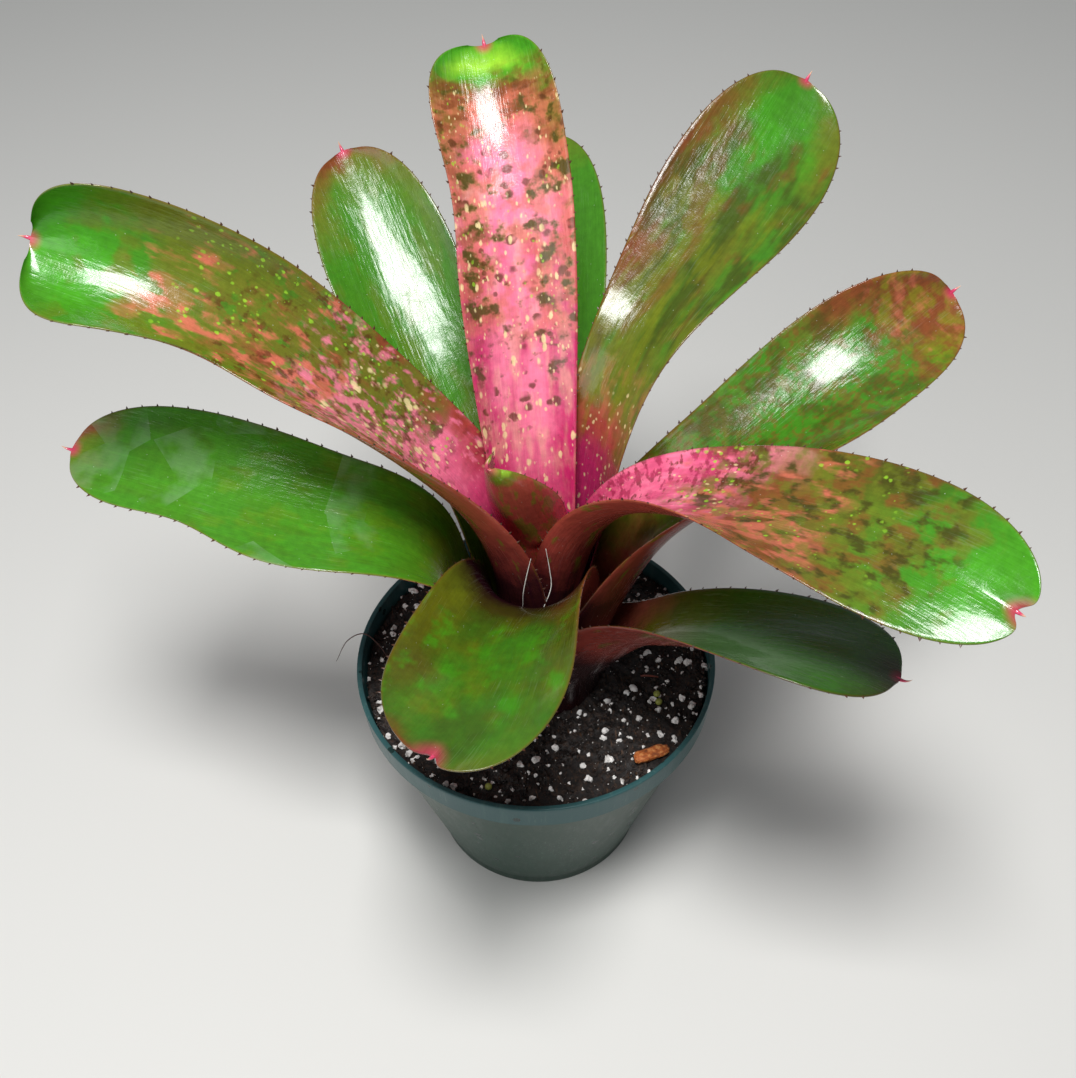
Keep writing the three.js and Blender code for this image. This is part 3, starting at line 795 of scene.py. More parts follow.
def mucro_mesh(name, place, run, normal, settings):
    """The hard point at the tip, its root sunk in the blade, curling up to the upper face."""
    length = settings.mucro_length
    side = np.cross(run, normal)
    points = []
    centre = place - run * MUCRO_SUNK * length
    for step in range(MUCRO_STEPS):
        s = step / (MUCRO_STEPS - 1)
        lean = MUCRO_CURL * max(s - MUCRO_STRAIGHT_UNTIL, 0) ** 1.3
        way = run * math.cos(lean) + normal * math.sin(lean)
        up = normal * math.cos(lean) - run * math.sin(lean)
        radius = MUCRO_ROOT * (1 - s) ** 0.9 * mix(0.6, 1.0, min(s * 4, 1)) + MUCRO_END
        for x, y in circle(MUCRO_SIDES):
            points.append(centre + up * radius * MUCRO_DEPTH * y + side * radius * x)
        centre = centre + way * MUCRO_LONG * length / (MUCRO_STEPS - 1)
    point = new_object(name + "_point", points, tube_faces(MUCRO_STEPS, MUCRO_SIDES, inward=True))
    set_attribute(point.data, "along", "FLOAT", np.repeat(np.linspace(0, 1, MUCRO_STEPS), MUCRO_SIDES))
    return point


def grow_leaf(name):
    """One whole leaf: the painted blade with its spines, and the hard point at its tip."""
    settings = bpy.context.scene.neoregelia_leaves
    blade, place, run, normal = blade_mesh(name, settings)
    blade.data.materials.append(leaf_material(name))
    spines = bpy.data.materials.get("spine") or spine_material()
    add_tree(blade, shared("Margin spines", spine_tree), {
        "Spacing": settings.spine_spacing, "Length": settings.spine_length,
        "Seed": YOUNGEST_FIRST.index(name), "Material": spines})
    settle(blade)
    point = mucro_mesh(name, place, run, normal, settings)
    point.data.materials.append(bpy.data.materials.get("mucro") or mucro_material())
    dress(join(name + "_leaf", [blade, point]), [], [name])


# ---- leaf colours -----------------------------------------------------------------------


def spine_material():
    """Plain dark brown."""
    material, board, shader = new_material("spine")
    finish_shader(board, shader, Base_Color=opaque("4a2a18"), Roughness=0.4)
    return material


def mucro_material():
    """Red at the root, paler and bonier to the end."""
    settings = bpy.context.scene.neoregelia_leaves
    material, board, shader = new_material("mucro")
    streak = board.noise(board.place(), 900.0)
    colour = board.ramp(board.attribute("along"), [
        (0, opaque(settings.point)), (0.6, opaque("d8486c")), (0.85, opaque("f0c8a8"))])
    colour = board.over(colour, streak, 0.4, opaque("8c1238"))
    finish_shader(board, shader, Base_Color=colour, Roughness=0.3, Coat_Weight=0.4)
    return material


def cloud(tone, amount, start, end, size, level, soft=0.06, near=()):
    """Ragged patches, size across and along in millimetres, denser near those places across."""
    return {"kind": "cloud", "tone": tone, "amount": amount, "start": start, "end": end,
            "size": size, "level": level, "soft": soft, "near": near}


def spots(tone, amount, start, end, size, radius, level=0.45, cluster=14.0):
    """Small marks, one in most cells of that size across and along, gathered in clusters."""
    return {"kind": "spots", "tone": tone, "amount": amount, "start": start, "end": end,
            "size": size, "radius": radius, "level": level, "cluster": cluster}


# Each look's tones are places from foot to tip and the settings' colours there: along the
# middle, along the anticlockwise and clockwise margins, and on the lower face. Its marks are
# laid over the upper face in order. Its shade is painted shade and light: below 1 it darkens
# the whole leaf as if it stood in shadow, and above 1 it lightens it as if it were more brightly lit.
PLAIN_LOOK = {
    "anti": None, "clock": None, "marks": [], "ragged": 0.06, "film": 0.0, "blush": 5.0, "shade": 1.0,
    "lower": [(0, "sheath"), (0.24, "sheath"), (0.36, "brick"), (0.68, "brick"), (0.82, "umber"),
              (1, "moss")],
    "lower_green": 0.62,
}
LOOKS = {
    "leaf_heart": {
        "tones": [(0, "sheath"), (0.5, "brick"), (0.8, "umber"), (0.9, "moss"), (1, "lime")],
        "lower": [(0, "sheath"), (0.45, "sheath"), (0.6, "brick"), (0.94, "brick"), (0.97, "moss"),
                  (1, "lime")],
        "lower_green": 0.53,
        "marks": [cloud("moss", 0.6, 0.4, 1, (9, 20), 0.52)]},
    "leaf_back_rose": {
        "tones": [(0, "sheath"), (0.2, "sheath"), (0.3, "magenta"), (0.45, "rose"), (0.84, "rose"),
                  (0.9, "salmon"), (0.925, "umber"), (0.945, "fresh"), (0.97, "lime"), (1, "fresh")],
        "anti": [(0, "sheath"), (0.25, "magenta"), (0.56, "magenta"), (0.7, "rose"), (0.84, "umber"),
                 (0.93, "moss"), (0.96, "green"), (1, "fresh")],
        "clock": [(0, "sheath"), (0.25, "magenta"), (0.56, "magenta"), (0.68, "rose"), (0.82, "salmon"),
                  (0.91, "moss"), (0.96, "fresh"), (1, "fresh")],
        "marks": [
            cloud("magenta", 0.7, 0.3, 0.72, (12, 40), 0.56, 0.1, (-0.9, 0.75)),
            cloud("fleck", 0.22, 0.3, 0.85, (5, 18), 0.55, 0.12),
            cloud("salmon", 0.65, 0.58, 0.93, (10, 10), 0.56, 0.1, (-0.7, 0.7)),
            cloud("amber", 0.6, 0.62, 0.95, (7, 6), 0.68, 0.09, (-0.85, 0.5)),
            cloud("umber", 0.5, 0.56, 0.95, (8, 7), 0.68, 0.09, (-0.7, 0.65)),
            cloud("olive", 0.85, 0.5, 0.95, (7, 6), 0.69, 0.07, (-0.7, 0.6)),
            cloud("umber", 0.85, 0.87, 0.95, (9, 4), 0.54, 0.08),
            spots("bronze", 0.8, 0.44, 0.93, (6.4, 5.6), 0.27, 0.47, 12.0),
            spots("bronze", 0.7, 0.4, 0.9, (4.0, 3.6), 0.2, 0.56, 9.0),
            spots("fleck", 0.65, 0.28, 0.94, (2.1, 3.6), 0.15, 0.44),
            spots("fleck", 0.75, 0.3, 0.78, (3.2, 5.6), 0.2, 0.44),
            spots("lime", 0.6, 0.6, 0.94, (2.8, 3.2), 0.16, 0.52)],
        "ragged": 0.022},
    "leaf_right_rose": {
        "tones": [(0, "sheath"), (0.22, "sheath"), (0.34, "rose"), (0.54, "rose"), (0.62, "umber"),
                  (0.74, "moss"), (0.85, "green"), (0.93, "fresh"), (1, "green")],
        "anti": [(0, "sheath"), (0.3, "magenta"), (0.4, "rose"), (0.6, "rose"), (0.68, "moss"),
                 (0.8, "olive"), (0.87, "green"), (1, "fresh")],
        "clock": [(0, "sheath"), (0.32, "magenta"), (0.44, "salmon"), (0.6, "salmon"), (0.7, "umber"),
                  (0.8, "moss"), (0.9, "green"), (1, "green")],
        "marks": [
            cloud("umber", 0.7, 0.5, 0.88, (7, 12), 0.53, 0.09),
            cloud("olive", 0.9, 0.52, 0.89, (5, 8), 0.55, 0.08),
            cloud("salmon", 0.85, 0.48, 0.74, (5, 14), 0.6, 0.08, (-0.5,)),
            cloud("bronze", 0.85, 0.3, 0.62, (3.8, 2.8), 0.65, 0.06, (0.9,)),
            cloud("magenta", 0.6, 0.28, 0.56, (7, 20), 0.56, 0.1, (0.9,)),
            cloud("moss", 0.6, 0.5, 0.92, (6, 6), 0.56, 0.08),
            spots("fleck", 0.55, 0.25, 0.6, (2.4, 4), 0.17, 0.46),
            spots("lime", 0.7, 0.5, 0.8, (2.8, 3.2), 0.18, 0.48)],
        "blush": 8.0},
    "leaf_left_rose": {
        "tones": [(0, "sheath"), (0.22, "sheath"), (0.3, "magenta"), (0.43, "rose"), (0.52, "umber"),
                  (0.7, "umber"), (0.78, "moss"), (0.86, "green"), (0.93, "fresh"), (1, "fresh")],
        "anti": [(0, "sheath"), (0.25, "magenta"), (0.42, "magenta"), (0.52, "umber"), (0.66, "brick"),
                 (0.74, "moss"), (0.84, "green"), (1, "green")],
        "clock": [(0, "sheath"), (0.3, "magenta"), (0.42, "brick"), (0.6, "umber"), (0.74, "moss"),
                  (0.86, "moss"), (0.93, "green"), (1, "green")],
        "marks": [
            cloud("brick", 0.55, 0.46, 0.78, (9, 20), 0.5, 0.1),
            cloud("moss", 0.85, 0.47, 0.86, (9, 24), 0.47, 0.09, (-0.6,)),
            cloud("rose", 0.75, 0.36, 0.66, (3.6, 7.5), 0.58, 0.08, (0.2,)),
            cloud("salmon", 0.9, 0.6, 0.88, (5, 14), 0.63, 0.07, (0.2,)),
            cloud("bronze", 0.8, 0.4, 0.78, (4.2, 5.2), 0.59, 0.07),
            cloud("green", 0.7, 0.46, 0.8, (3.4, 5), 0.6, 0.07),
            cloud("moss", 0.7, 0.72, 0.95, (10, 14), 0.56, 0.08, (-0.7,)),
            spots("lime", 0.75, 0.4, 0.84, (2.6, 3.2), 0.18, 0.46),
            spots("fleck", 0.7, 0.28, 0.6, (2.2, 3.6), 0.17, 0.44),
            spots("fleck", 0.7, 0.34, 0.62, (4.2, 6.4), 0.23, 0.46)]},
    "leaf_back_right": {
        "tones": [(0, "sheath"), (0.22, "sheath"), (0.3, "magenta"), (0.36, "magenta"), (0.41, "brick"),
                  (0.47, "moss"), (0.74, "moss"), (0.82, "green"), (0.9, "fresh"), (1, "green")],
        "anti": [(0, "sheath"), (0.3, "brick"), (0.42, "umber"), (0.5, "moss"), (0.66, "umber"),
                 (0.86, "umber"), (1, "moss")],
        "clock": [(0, "sheath"), (0.3, "magenta"), (0.42, "moss"), (0.7, "green"), (0.88, "moss"),
                  (1, "moss")],
        "marks": [
            cloud("green", 0.7, 0.45, 1, (8, 40), 0.52, 0.1),
            cloud("olive", 0.7, 0.48, 0.9, (10, 40), 0.51, 0.1),
            cloud("umber", 0.5, 0.55, 0.9, (8, 22), 0.62, 0.1, (0.6,)),
            cloud("amber", 0.5, 0.4, 0.8, (6, 30), 0.56, 0.08),
            cloud("salmon", 0.3, 0.4, 0.5, (4, 14), 0.52, 0.09),
            spots("fleck", 0.7, 0.25, 0.47, (2.4, 3.6), 0.18, 0.42)],
        "shade": 0.88},
    "leaf_front": {
        "tones": [(0, "sheath"), (0.42, "sheath"), (0.5, "olive"), (0.62, "green"), (1, "green")],
        "anti": [(0, "sheath"), (0.44, "sheath"), (0.52, "umber"), (0.66, "moss"), (0.85, "green"),
                 (1, "moss")],
        "clock": [(0, "sheath"), (0.42, "sheath"), (0.5, "moss"), (0.62, "amber"), (0.78, "moss"),
                  (0.92, "green"), (1, "umber")],
        "marks": [
            cloud("olive", 0.6, 0.45, 1, (22, 50), 0.5, 0.2),
            cloud("amber", 0.55, 0.5, 0.9, (16, 30), 0.6, 0.18),
            cloud("fresh", 0.75, 0.56, 0.88, (9, 12), 0.6, 0.12)],
        "blush": 10.0, "shade": 0.8},
    "leaf_back_left": {
        "tones": [(0, "sheath"), (0.2, "moss"), (0.35, "green"), (0.9, "green"), (0.98, "moss"),
                  (1, "umber")],
        "anti": [(0, "moss"), (0.8, "green"), (0.9, "moss"), (1, "umber")],
        "clock": [(0, "moss"), (0.8, "green"), (0.93, "moss"), (1, "umber")],
        "marks": [cloud("moss", 0.45, 0.4, 1, (8, 34), 0.56, 0.09)]},
    "leaf_behind": {
        "tones": [(0, "sheath"), (0.2, "moss"), (0.35, "green"), (0.9, "green"), (1, "moss")]},
    "leaf_right": {
        "tones": [(0, "brick"), (0.25, "brick"), (0.38, "moss"), (0.5, "green"), (0.86, "green"),
                  (0.92, "umber"), (1, "umber")],
        "anti": [(0, "brick"), (0.3, "moss"), (0.7, "green"), (0.84, "umber"), (1, "umber")],
        "clock": [(0, "brick"), (0.3, "moss"), (0.86, "green"), (0.92, "amber"), (1, "umber")],
        "marks": [
            cloud("umber", 0.5, 0.3, 1, (2.6, 3.4), 0.52, 0.1),
            cloud("olive", 0.6, 0.3, 0.92, (8, 12), 0.53, 0.1),
            cloud("umber", 0.7, 0.85, 1, (9, 8), 0.5, 0.1),
            cloud("amber", 0.6, 0.87, 1, (8, 7), 0.55, 0.1),
            cloud("salmon", 0.4, 0.88, 0.97, (6, 5), 0.6, 0.1)]},
    "leaf_low_right": {
        "tones": [(0, "brick"), (0.2, "brick"), (0.34, "amber"), (0.44, "moss"), (0.6, "green"),
                  (0.9, "green"), (1, "olive")],
        "anti": [(0, "brick"), (0.3, "salmon"), (0.42, "moss"), (0.6, "green"), (1, "green")],
        # Painted shade: this leaf is darkened for the shadow that the leaf over it casts.
        "shade": 0.5},
    "leaf_low_left": {
        "tones": [(0, "moss"), (0.3, "moss"), (0.45, "green"), (0.92, "green"), (1, "moss")],
        "clock": [(0, "moss"), (0.5, "green"), (0.9, "green"), (1, "umber")],
        "marks": [
            cloud("fresh", 0.5, 0.3, 1, (12, 30), 0.52, 0.1),
            cloud("olive", 0.3, 0.3, 1, (14, 30), 0.52, 0.1),
            cloud("amber", 0.18, 0.25, 0.75, (8, 18), 0.58, 0.08)],
        "film": 0.45, "shade": 1.12},
}
TONES = ("green", "fresh", "olive", "bronze", "moss", "rose", "magenta", "salmon", "amber", "fleck", "lime",
         "brick", "umber", "sheath", "point")


class LeafPaint:
    """Builds one leaf's colour from its look, layer by layer."""

    def __init__(self, board, look):
        settings = bpy.context.scene.neoregelia_leaves
        self.board, self.look = board, look
        # self.shade holds the settings' colours by name; the painted shade is the look's shade value.
        self.shade = {key: opaque(getattr(settings, key)) for key in TONES}
        self.sheet = board.attribute("sheet", "Vector")
        self.along, self.across, self.under = [board.attribute(k) for k in ("along", "across", "under")]

    def wander(self, scale, reach):
        """A slow drift over the blade, up to the reach either way."""
        wave = self.board.noise(self.sheet, scale, 4.0, 0.6)
        return self.board.times(self.board.minus(wave, 0.5), 2 * reach)

    def tones(self, key):
        """The look's colours from foot to tip, with ragged joins."""
        place = self.board.plus(self.along, self.wander(0.08, self.look["ragged"]))
        return self.board.ramp(place, [(p, self.shade[tone]) for p, tone in self.look[key]])

    def reach(self, start, end):
        """1 between two places along the leaf."""
        return self.board.group(shared("Leaf stretch", stretch_group), {
            "Along": self.along, "Sheet": self.sheet, "Start": start, "End": end, "Fade": 0.03,
            "Ragged": self.look["ragged"]}, "Mask")

    def blotches(self, size, level, soft, bias=0.0):
        """Cloudy patches of that size across and along, fewer at a higher level."""
        return self.board.group(shared("Leaf blotches", blotch_group), {
            "Sheet": self.sheet, "Across": float(size[0]), "Along": float(size[1]), "Level": level,
            "Softness": soft, "Bias": bias}, "Mask")

    def dense(self, near):
        """How much denser the patches are here: more near each place, and in loose drifts."""
        board = self.board
        bias = board.times(board.minus(board.noise(self.sheet, 0.07), 0.5), 0.4)
        for place in near:
            off = board.math("ABSOLUTE", board.minus(self.across, place))
            by = board.minus(1.0, board.fade(off, 0.0, 0.8))
            bias = board.plus(bias, board.times(by, 0.13))
        return bias

    def lay(self, colour, mark):
        """Lays one mark over the colour, as strongly and as far as it says."""
        board = self.board
        if mark["kind"] == "cloud":
            mask = self.blotches(mark["size"], mark["level"], mark["soft"], self.dense(mark["near"]))
        else:
            mask = board.group(shared("Leaf spots", spots_group), {
                "Sheet": self.sheet, "Across": float(mark["size"][0]), "Along": float(mark["size"][1]),
                "Radius": mark["radius"], "Softness": 0.08, "Gathering": mark["level"],
                "Cluster Size": mark["cluster"]}, "Mask")
        mask = board.times(mask, self.reach(mark["start"], mark["end"]))
        return board.over(colour, mask, mark["amount"], self.shade[mark["tone"]])

    def face(self):
        """The upper face: the middle's tones go over to each margin's own, then come the marks."""
        board = self.board
        colour = self.tones("tones")
        place = board.plus(self.across, self.wander(0.06, 0.45))
        for key, way in (("anti", 1.0), ("clock", -1.0)):
            if self.look[key]:
                margin = board.fade(board.times(place, way), 0.3, 0.9)
                colour = board.blend(margin, colour, self.tones(key))
        for mark in self.look["marks"]:
            colour = self.lay(colour, mark)
        return colour

    def back(self):
        """The lower face, with yellow green blotches and darker streaks."""
        colour = self.tones("lower")
        blotches = self.board.times(self.blotches((7, 18), self.look["lower_green"], 0.04),
                                    self.reach(0.28, 1.1))
        colour = self.board.over(colour, blotches, 0.7, self.shade["moss"])
        return self.board.over(colour, self.blotches((1.6, 20), 0.5, 0.2), 0.12, self.shade["umber"])

    def tip_blush(self, colour, length):
        """The pink that runs in round the hard point."""
        board = self.board
        left = board.times(board.minus(1.0, self.along), length)
        beside = board.out("ShaderNodeSeparateXYZ", {"Vector": self.sheet}, "X")
        away = board.math("SQRT", board.plus(board.times(left, left), board.times(beside, beside)))
        blush = board.minus(1.0, board.fade(away, 0.5, self.look["blush"]))
        return board.over(colour, blush, 0.8, self.shade["point"])


def leaf_material(name):
    """A leaf's two faces, browner at the margin, with grain, scuffs, dust and any dried film, darkened or
    lightened by the look's painted shade.
    """
    look = {**PLAIN_LOOK, **LOOKS[name]}
    material, board, shader = new_material(name)
    paint = LeafPaint(board, look)
    colour = board.blend(board.fade(paint.under, 0.25, 0.75), paint.face(), paint.back())
    colour = paint.tip_blush(colour, leaf_values(name)["length"])
    margin = board.fade(board.math("ABSOLUTE", paint.across), 0.975, 1.0)
    colour = board.over(colour, margin, 0.3, paint.shade["umber"])
    grain = shared("Leaf grain", grain_group)
    height, lines, scuffs, film, specks = [
        board.group(grain, {"Sheet": paint.sheet}, key)
        for key in ("Height", "Lines", "Scuffs", "Film", "Specks")]
    drift = board.noise(paint.sheet, 0.3, 4.0, 0.6)
    # Painted shade or light: the look's shade darkens or lightens the whole leaf, over a slow random change
    # of tone.
    value = board.times(look["shade"], board.plus(0.66, board.times(drift, 0.6)))
    value = board.times(value, board.plus(0.84, board.times(lines, 0.32)))
    colour = board.lighten(colour, value)
    colour = board.over(colour, scuffs, 0.05, opaque("c8d0c0"))
    if look["film"]:
        film = board.times(board.times(film, paint.reach(0.5, 1.2)), look["film"])
        colour = board.over(colour, film, 0.5, opaque("8fb089"))
    colour = board.over(colour, specks, 0.3, opaque("e8ece0"))
    rough = board.plus(0.15, board.times(scuffs, 0.2))
    rough = board.plus(rough, board.times(lines, 0.16))
    finish_shader(board, shader, Base_Color=colour, Roughness=rough, Coat_Weight=0.3, Coat_Roughness=0.1,
                  IOR=1.42, Normal=board.bump(height, 0.6, 0.0004))
    return material


# ---- pot --------------------------------------------------------------------------------

# Lengths in metres. The lip stands proud of the wall and ends in a flat land at the top.
POT_SEGMENTS = 160
LIP_PROUD, LIP_LAND, LIP_ROUND = 0.0036, 0.0022, 0.0005
FOOT_RADIUS, FOOT_HEIGHT, FOOT_STEP, FOOT_SLOPE = 0.048, 0.006, 0.001, 0.0008
FLOOR_THICK = 0.002
WALL_STEPS, ROUND_STEPS = 12, 4
DRAINS, DRAIN_CIRCLE, DRAIN_RADIUS, DRILL_REACH, DRILL_SIDES = 8, 0.036, 0.0045, 0.004, 24


def pot_material():
    """Dark plastic with painted light that makes the lip band bluer, vertical streaks and rubbed scratches
    paled partly by painted sheen, and dried drips.
    """
    settings = bpy.context.scene.neoregelia_pot
    material, board, shader = new_material("pot_plastic")
    place = board.place()
    streaks = board.stretched(place, (260.0, 260.0, 14.0), 4.0, 0.65)
    speckle = board.noise(place, 700.0)
    mottle = board.noise(place, 28.0, 3.0)
    lip_foot = POT_HIGH.z - settings.lip_height
    # Painted light: the lip band is made lighter and bluer, as where light catches the rim.
    lit_lip = board.fade(board.out("ShaderNodeSeparateXYZ", {"Vector": place}, "Z"),
                     lip_foot - 0.001, lip_foot + 0.001)
    colour = board.over(opaque(settings.plastic), lit_lip, 0.35, opaque("44727e"))
    scratches = board.stretched(place, (1400.0, 1400.0, 90.0))
    rubbed = board.times(board.fade(scratches, 0.6, 0.68), board.fade(mottle, 0.45, 0.6))
    # The pale colour of the streaks and rubbed scratches is partly wear and partly painted sheen off the
    # plastic.
    wear_and_sheen = board.plus(board.times(board.fade(streaks, 0.5, 0.75), 0.14), board.times(rubbed, 0.24))
    colour = board.blend(wear_and_sheen, colour, opaque("7d988c"))
    distance, own = board.dots(place, 120.0)
    chance = board.channel(own)
    size = board.times(board.math("GREATER_THAN", chance, 0.6), board.times(chance, 0.24))
    drip = board.math("LESS_THAN", distance, size)
    colour = board.over(colour, drip, 0.8, opaque("10221e"))
    colour = board.over(colour, mottle, 0.25, opaque("17302c"))
    rough = board.plus(0.24, board.times(streaks, 0.25))
    rough = board.minus(rough, board.times(drip, 0.12))
    height = board.plus(streaks, board.times(speckle, 0.5))
    height = board.plus(height, board.times(scratches, 0.6))
    height = board.plus(height, board.times(drip, 1.5))
    finish_shader(board, shader, Base_Color=colour, Roughness=rough, Specular_IOR_Level=0.25,
                  Normal=board.bump(height, 0.25, 0.0002))
    return material


def pot_profile(settings):
    """The pot's section from the middle of its underside, up the outside, and down inside."""
    rim, top = POT_HIGH.x, POT_HIGH.z
    lip_foot = top - settings.lip_height
    shoulder = rim - LIP_PROUD
    inside = rim - LIP_LAND
    foot, wall_foot = FOOT_RADIUS, FOOT_RADIUS + FOOT_STEP
    profile = [(0, 0), (foot - 0.001, 0), (foot - 0.0003, 0.0003), (foot, 0.001),
               (foot + 0.0004, FOOT_HEIGHT - 0.0003), (foot + 0.0007, FOOT_HEIGHT + 0.0002),
               (wall_foot, FOOT_HEIGHT + FOOT_SLOPE)]
    for step in range(1, WALL_STEPS + 1):
        s = step / WALL_STEPS
        profile.append((mix(wall_foot, shoulder, s), mix(FOOT_HEIGHT + FOOT_SLOPE, lip_foot, s)))
    profile += [(shoulder + 0.0004, lip_foot - 0.0001), (rim - 0.0014, lip_foot - 0.0001),
                (rim - 0.0009, lip_foot + 0.0003), (rim - 0.0002, top - 0.003), (rim, top - 0.0012)]
    for step in range(ROUND_STEPS + 1):
        angle = math.radians(90 / ROUND_STEPS * step)
        profile.append((rim - LIP_ROUND + LIP_ROUND * math.cos(angle),
                        top - LIP_ROUND + LIP_ROUND * math.sin(angle)))
    profile += [(inside + 0.0005, top), (inside + 0.0001, top - 0.0002), (inside, top - 0.0008),
                (inside - 0.0003, lip_foot + 0.003), (shoulder - settings.wall, lip_foot - 0.001),
                (wall_foot - settings.wall, FOOT_HEIGHT), (foot - settings.wall - 0.001, FLOOR_THICK),
                (0, FLOOR_THICK)]
    return profile


def drill_drains(pot):
    """Cuts the ring of drain holes in the pot's floor."""
    points, faces = [], []
    for middle_x, middle_y in circle(DRAINS, DRAIN_CIRCLE):
        faces += tube_faces(2, DRILL_SIDES, len(points))
        points += [(middle_x + x, middle_y + y, z) for z in (-DRILL_REACH, DRILL_REACH)
                   for x, y in circle(DRILL_SIDES, DRAIN_RADIUS)]
    drill = new_object("drill", points, faces)
    cut = pot.modifiers.new("Drains", "BOOLEAN")
    cut.operation = "DIFFERENCE"
    cut.object = drill
    settle(pot)
    bpy.data.objects.remove(drill)


# ---- soil -------------------------------------------------------------------------------

# Lengths in metres. The levels are heights over the pot's underside. The wall's levels come
# with how far out they lie. No grain is strewn inside the crown's radius, where the leaves stand.
SOIL_LEVEL, SOIL_DIP, SOIL_LUMP = 0.104, 0.0012, 0.0009
FLAT_UNTIL = 0.05
LUMP_SCALE, LUMP_HEIGHT = 300, 0.0015
CROWN_RADIUS = 0.0285
SOIL_SIDES, SOIL_RINGS = 260, 64
SOIL_FOOT, SOIL_HEEL, HEEL_RISE = 0.0455, 0.047, 0.003
WALL_LEVELS = ((-0.001, 0.094), (0.0, 0.1))
SOIL_OVERLAP, TOP_OVERHANG, MIDDLE_RADIUS = 0.0006, 0.0011, 0.002
PATCH_SIDES, PATCH_RINGS = 120, 24
LUMP_PUSH = 0.004


def soil_lift(x, y):
    """The slow rise and fall of the soil's top, the same as in the solid."""
    x, y = x / MM, y / MM
    return SOIL_LUMP * (0.5 * math.sin(0.31 * x + 1.1) * math.cos(0.27 * y)
                        + 0.35 * math.sin(0.83 * x - 0.4 * y) + 0.3 * math.cos(0.71 * y + 0.52 * x + 2))


def soil_top(x, y):
    """The height of the soil's top, with its dip to the wall, its swells and its fine lumps."""
    radius = math.hypot(x, y)
    outer = POT_HIGH.x - LIP_LAND
    lumps = noise.fractal(Vector((x, y, 0.3)) * LUMP_SCALE, 0.8, 2.1, 4) * LUMP_HEIGHT
    dip = SOIL_DIP * float(ease((radius - FLAT_UNTIL) / (outer - FLAT_UNTIL)))
    return SOIL_LEVEL - dip + soil_lift(x, y) + lumps


def soil_mesh():
    """Peat as one closed body: a lumpy top, a wall inside the pot, and a flat underside."""
    wall = SOIL_HIGH.x + SOIL_OVERLAP
    levels = [(SOIL_FOOT, SOIL_LOW.z), (SOIL_HEEL, SOIL_LOW.z + HEEL_RISE)]
    levels += [(wall + out, height) for out, height in WALL_LEVELS]
    points = [(x, y, height) for radius, height in levels for x, y in circle(SOIL_SIDES, radius)]
    for k in range(SOIL_RINGS + 1):
        radius = mix(wall + TOP_OVERHANG, MIDDLE_RADIUS, k / SOIL_RINGS)
        points += [(x, y, soil_top(x, y)) for x, y in circle(SOIL_SIDES, radius)]
    top = len(points) - SOIL_SIDES
    faces = [quad for base in range(0, top, SOIL_SIDES) for quad in ring_quads(base, SOIL_SIDES)]
    middle_low, middle_top = len(points), len(points) + 1
    points += [(0, 0, SOIL_LOW.z), (0, 0, soil_top(0, 0))]
    for k in range(SOIL_SIDES):
        after = (k + 1) % SOIL_SIDES
        faces += [(middle_low, after, k), (middle_top, top + k, top + after)]
    return new_object("soil_peat", points, faces)


def peat_material(name, brightness):
    """Dark crumbs with a few paler fibres, shinier where they are damp."""
    settings = bpy.context.scene.neoregelia_soil
    material, board, shader = new_material(name)
    place = board.place()
    crumbs = board.noise(place, 420.0, 5.0, 0.7)
    fibres = board.stretched(place, (900.0, 180.0, 500.0), 3.0)
    damp = board.fade(board.noise(place, 60.0, 3.0), 0.42, 0.62)
    colour = board.ramp(crumbs, [(0.3, opaque("0b0705")), (0.5, opaque(settings.peat)),
                                 (0.68, opaque("3a281b"))])
    colour = board.over(colour, board.fade(fibres, 0.62, 0.72), 0.5, opaque("6b4a2d"))
    colour = board.lighten(colour, board.plus(brightness, board.times(crumbs, 0.3)))
    rough = board.minus(0.85, board.times(damp, 0.4))
    finish_shader(board, shader, Base_Color=colour, Roughness=rough, Normal=board.bump(crumbs, 0.9, 0.001))
    return material


def perlite_material():
    """White, pitted, and stained by peat in places."""
    settings = bpy.context.scene.neoregelia_soil
    material, board, shader = new_material("perlite")
    place = board.place()
    pits = board.noise(place, 1500.0, 3.0, 0.6)
    dirt = board.fade(board.noise(place, 240.0, 3.0), 0.5, 0.75)
    colour = board.over(opaque(settings.perlite), dirt, 0.75, opaque("54463a"))
    finish_shader(board, shader, Base_Color=colour, Roughness=0.75, Normal=board.bump(pits, 0.7, 0.0003))
    return material


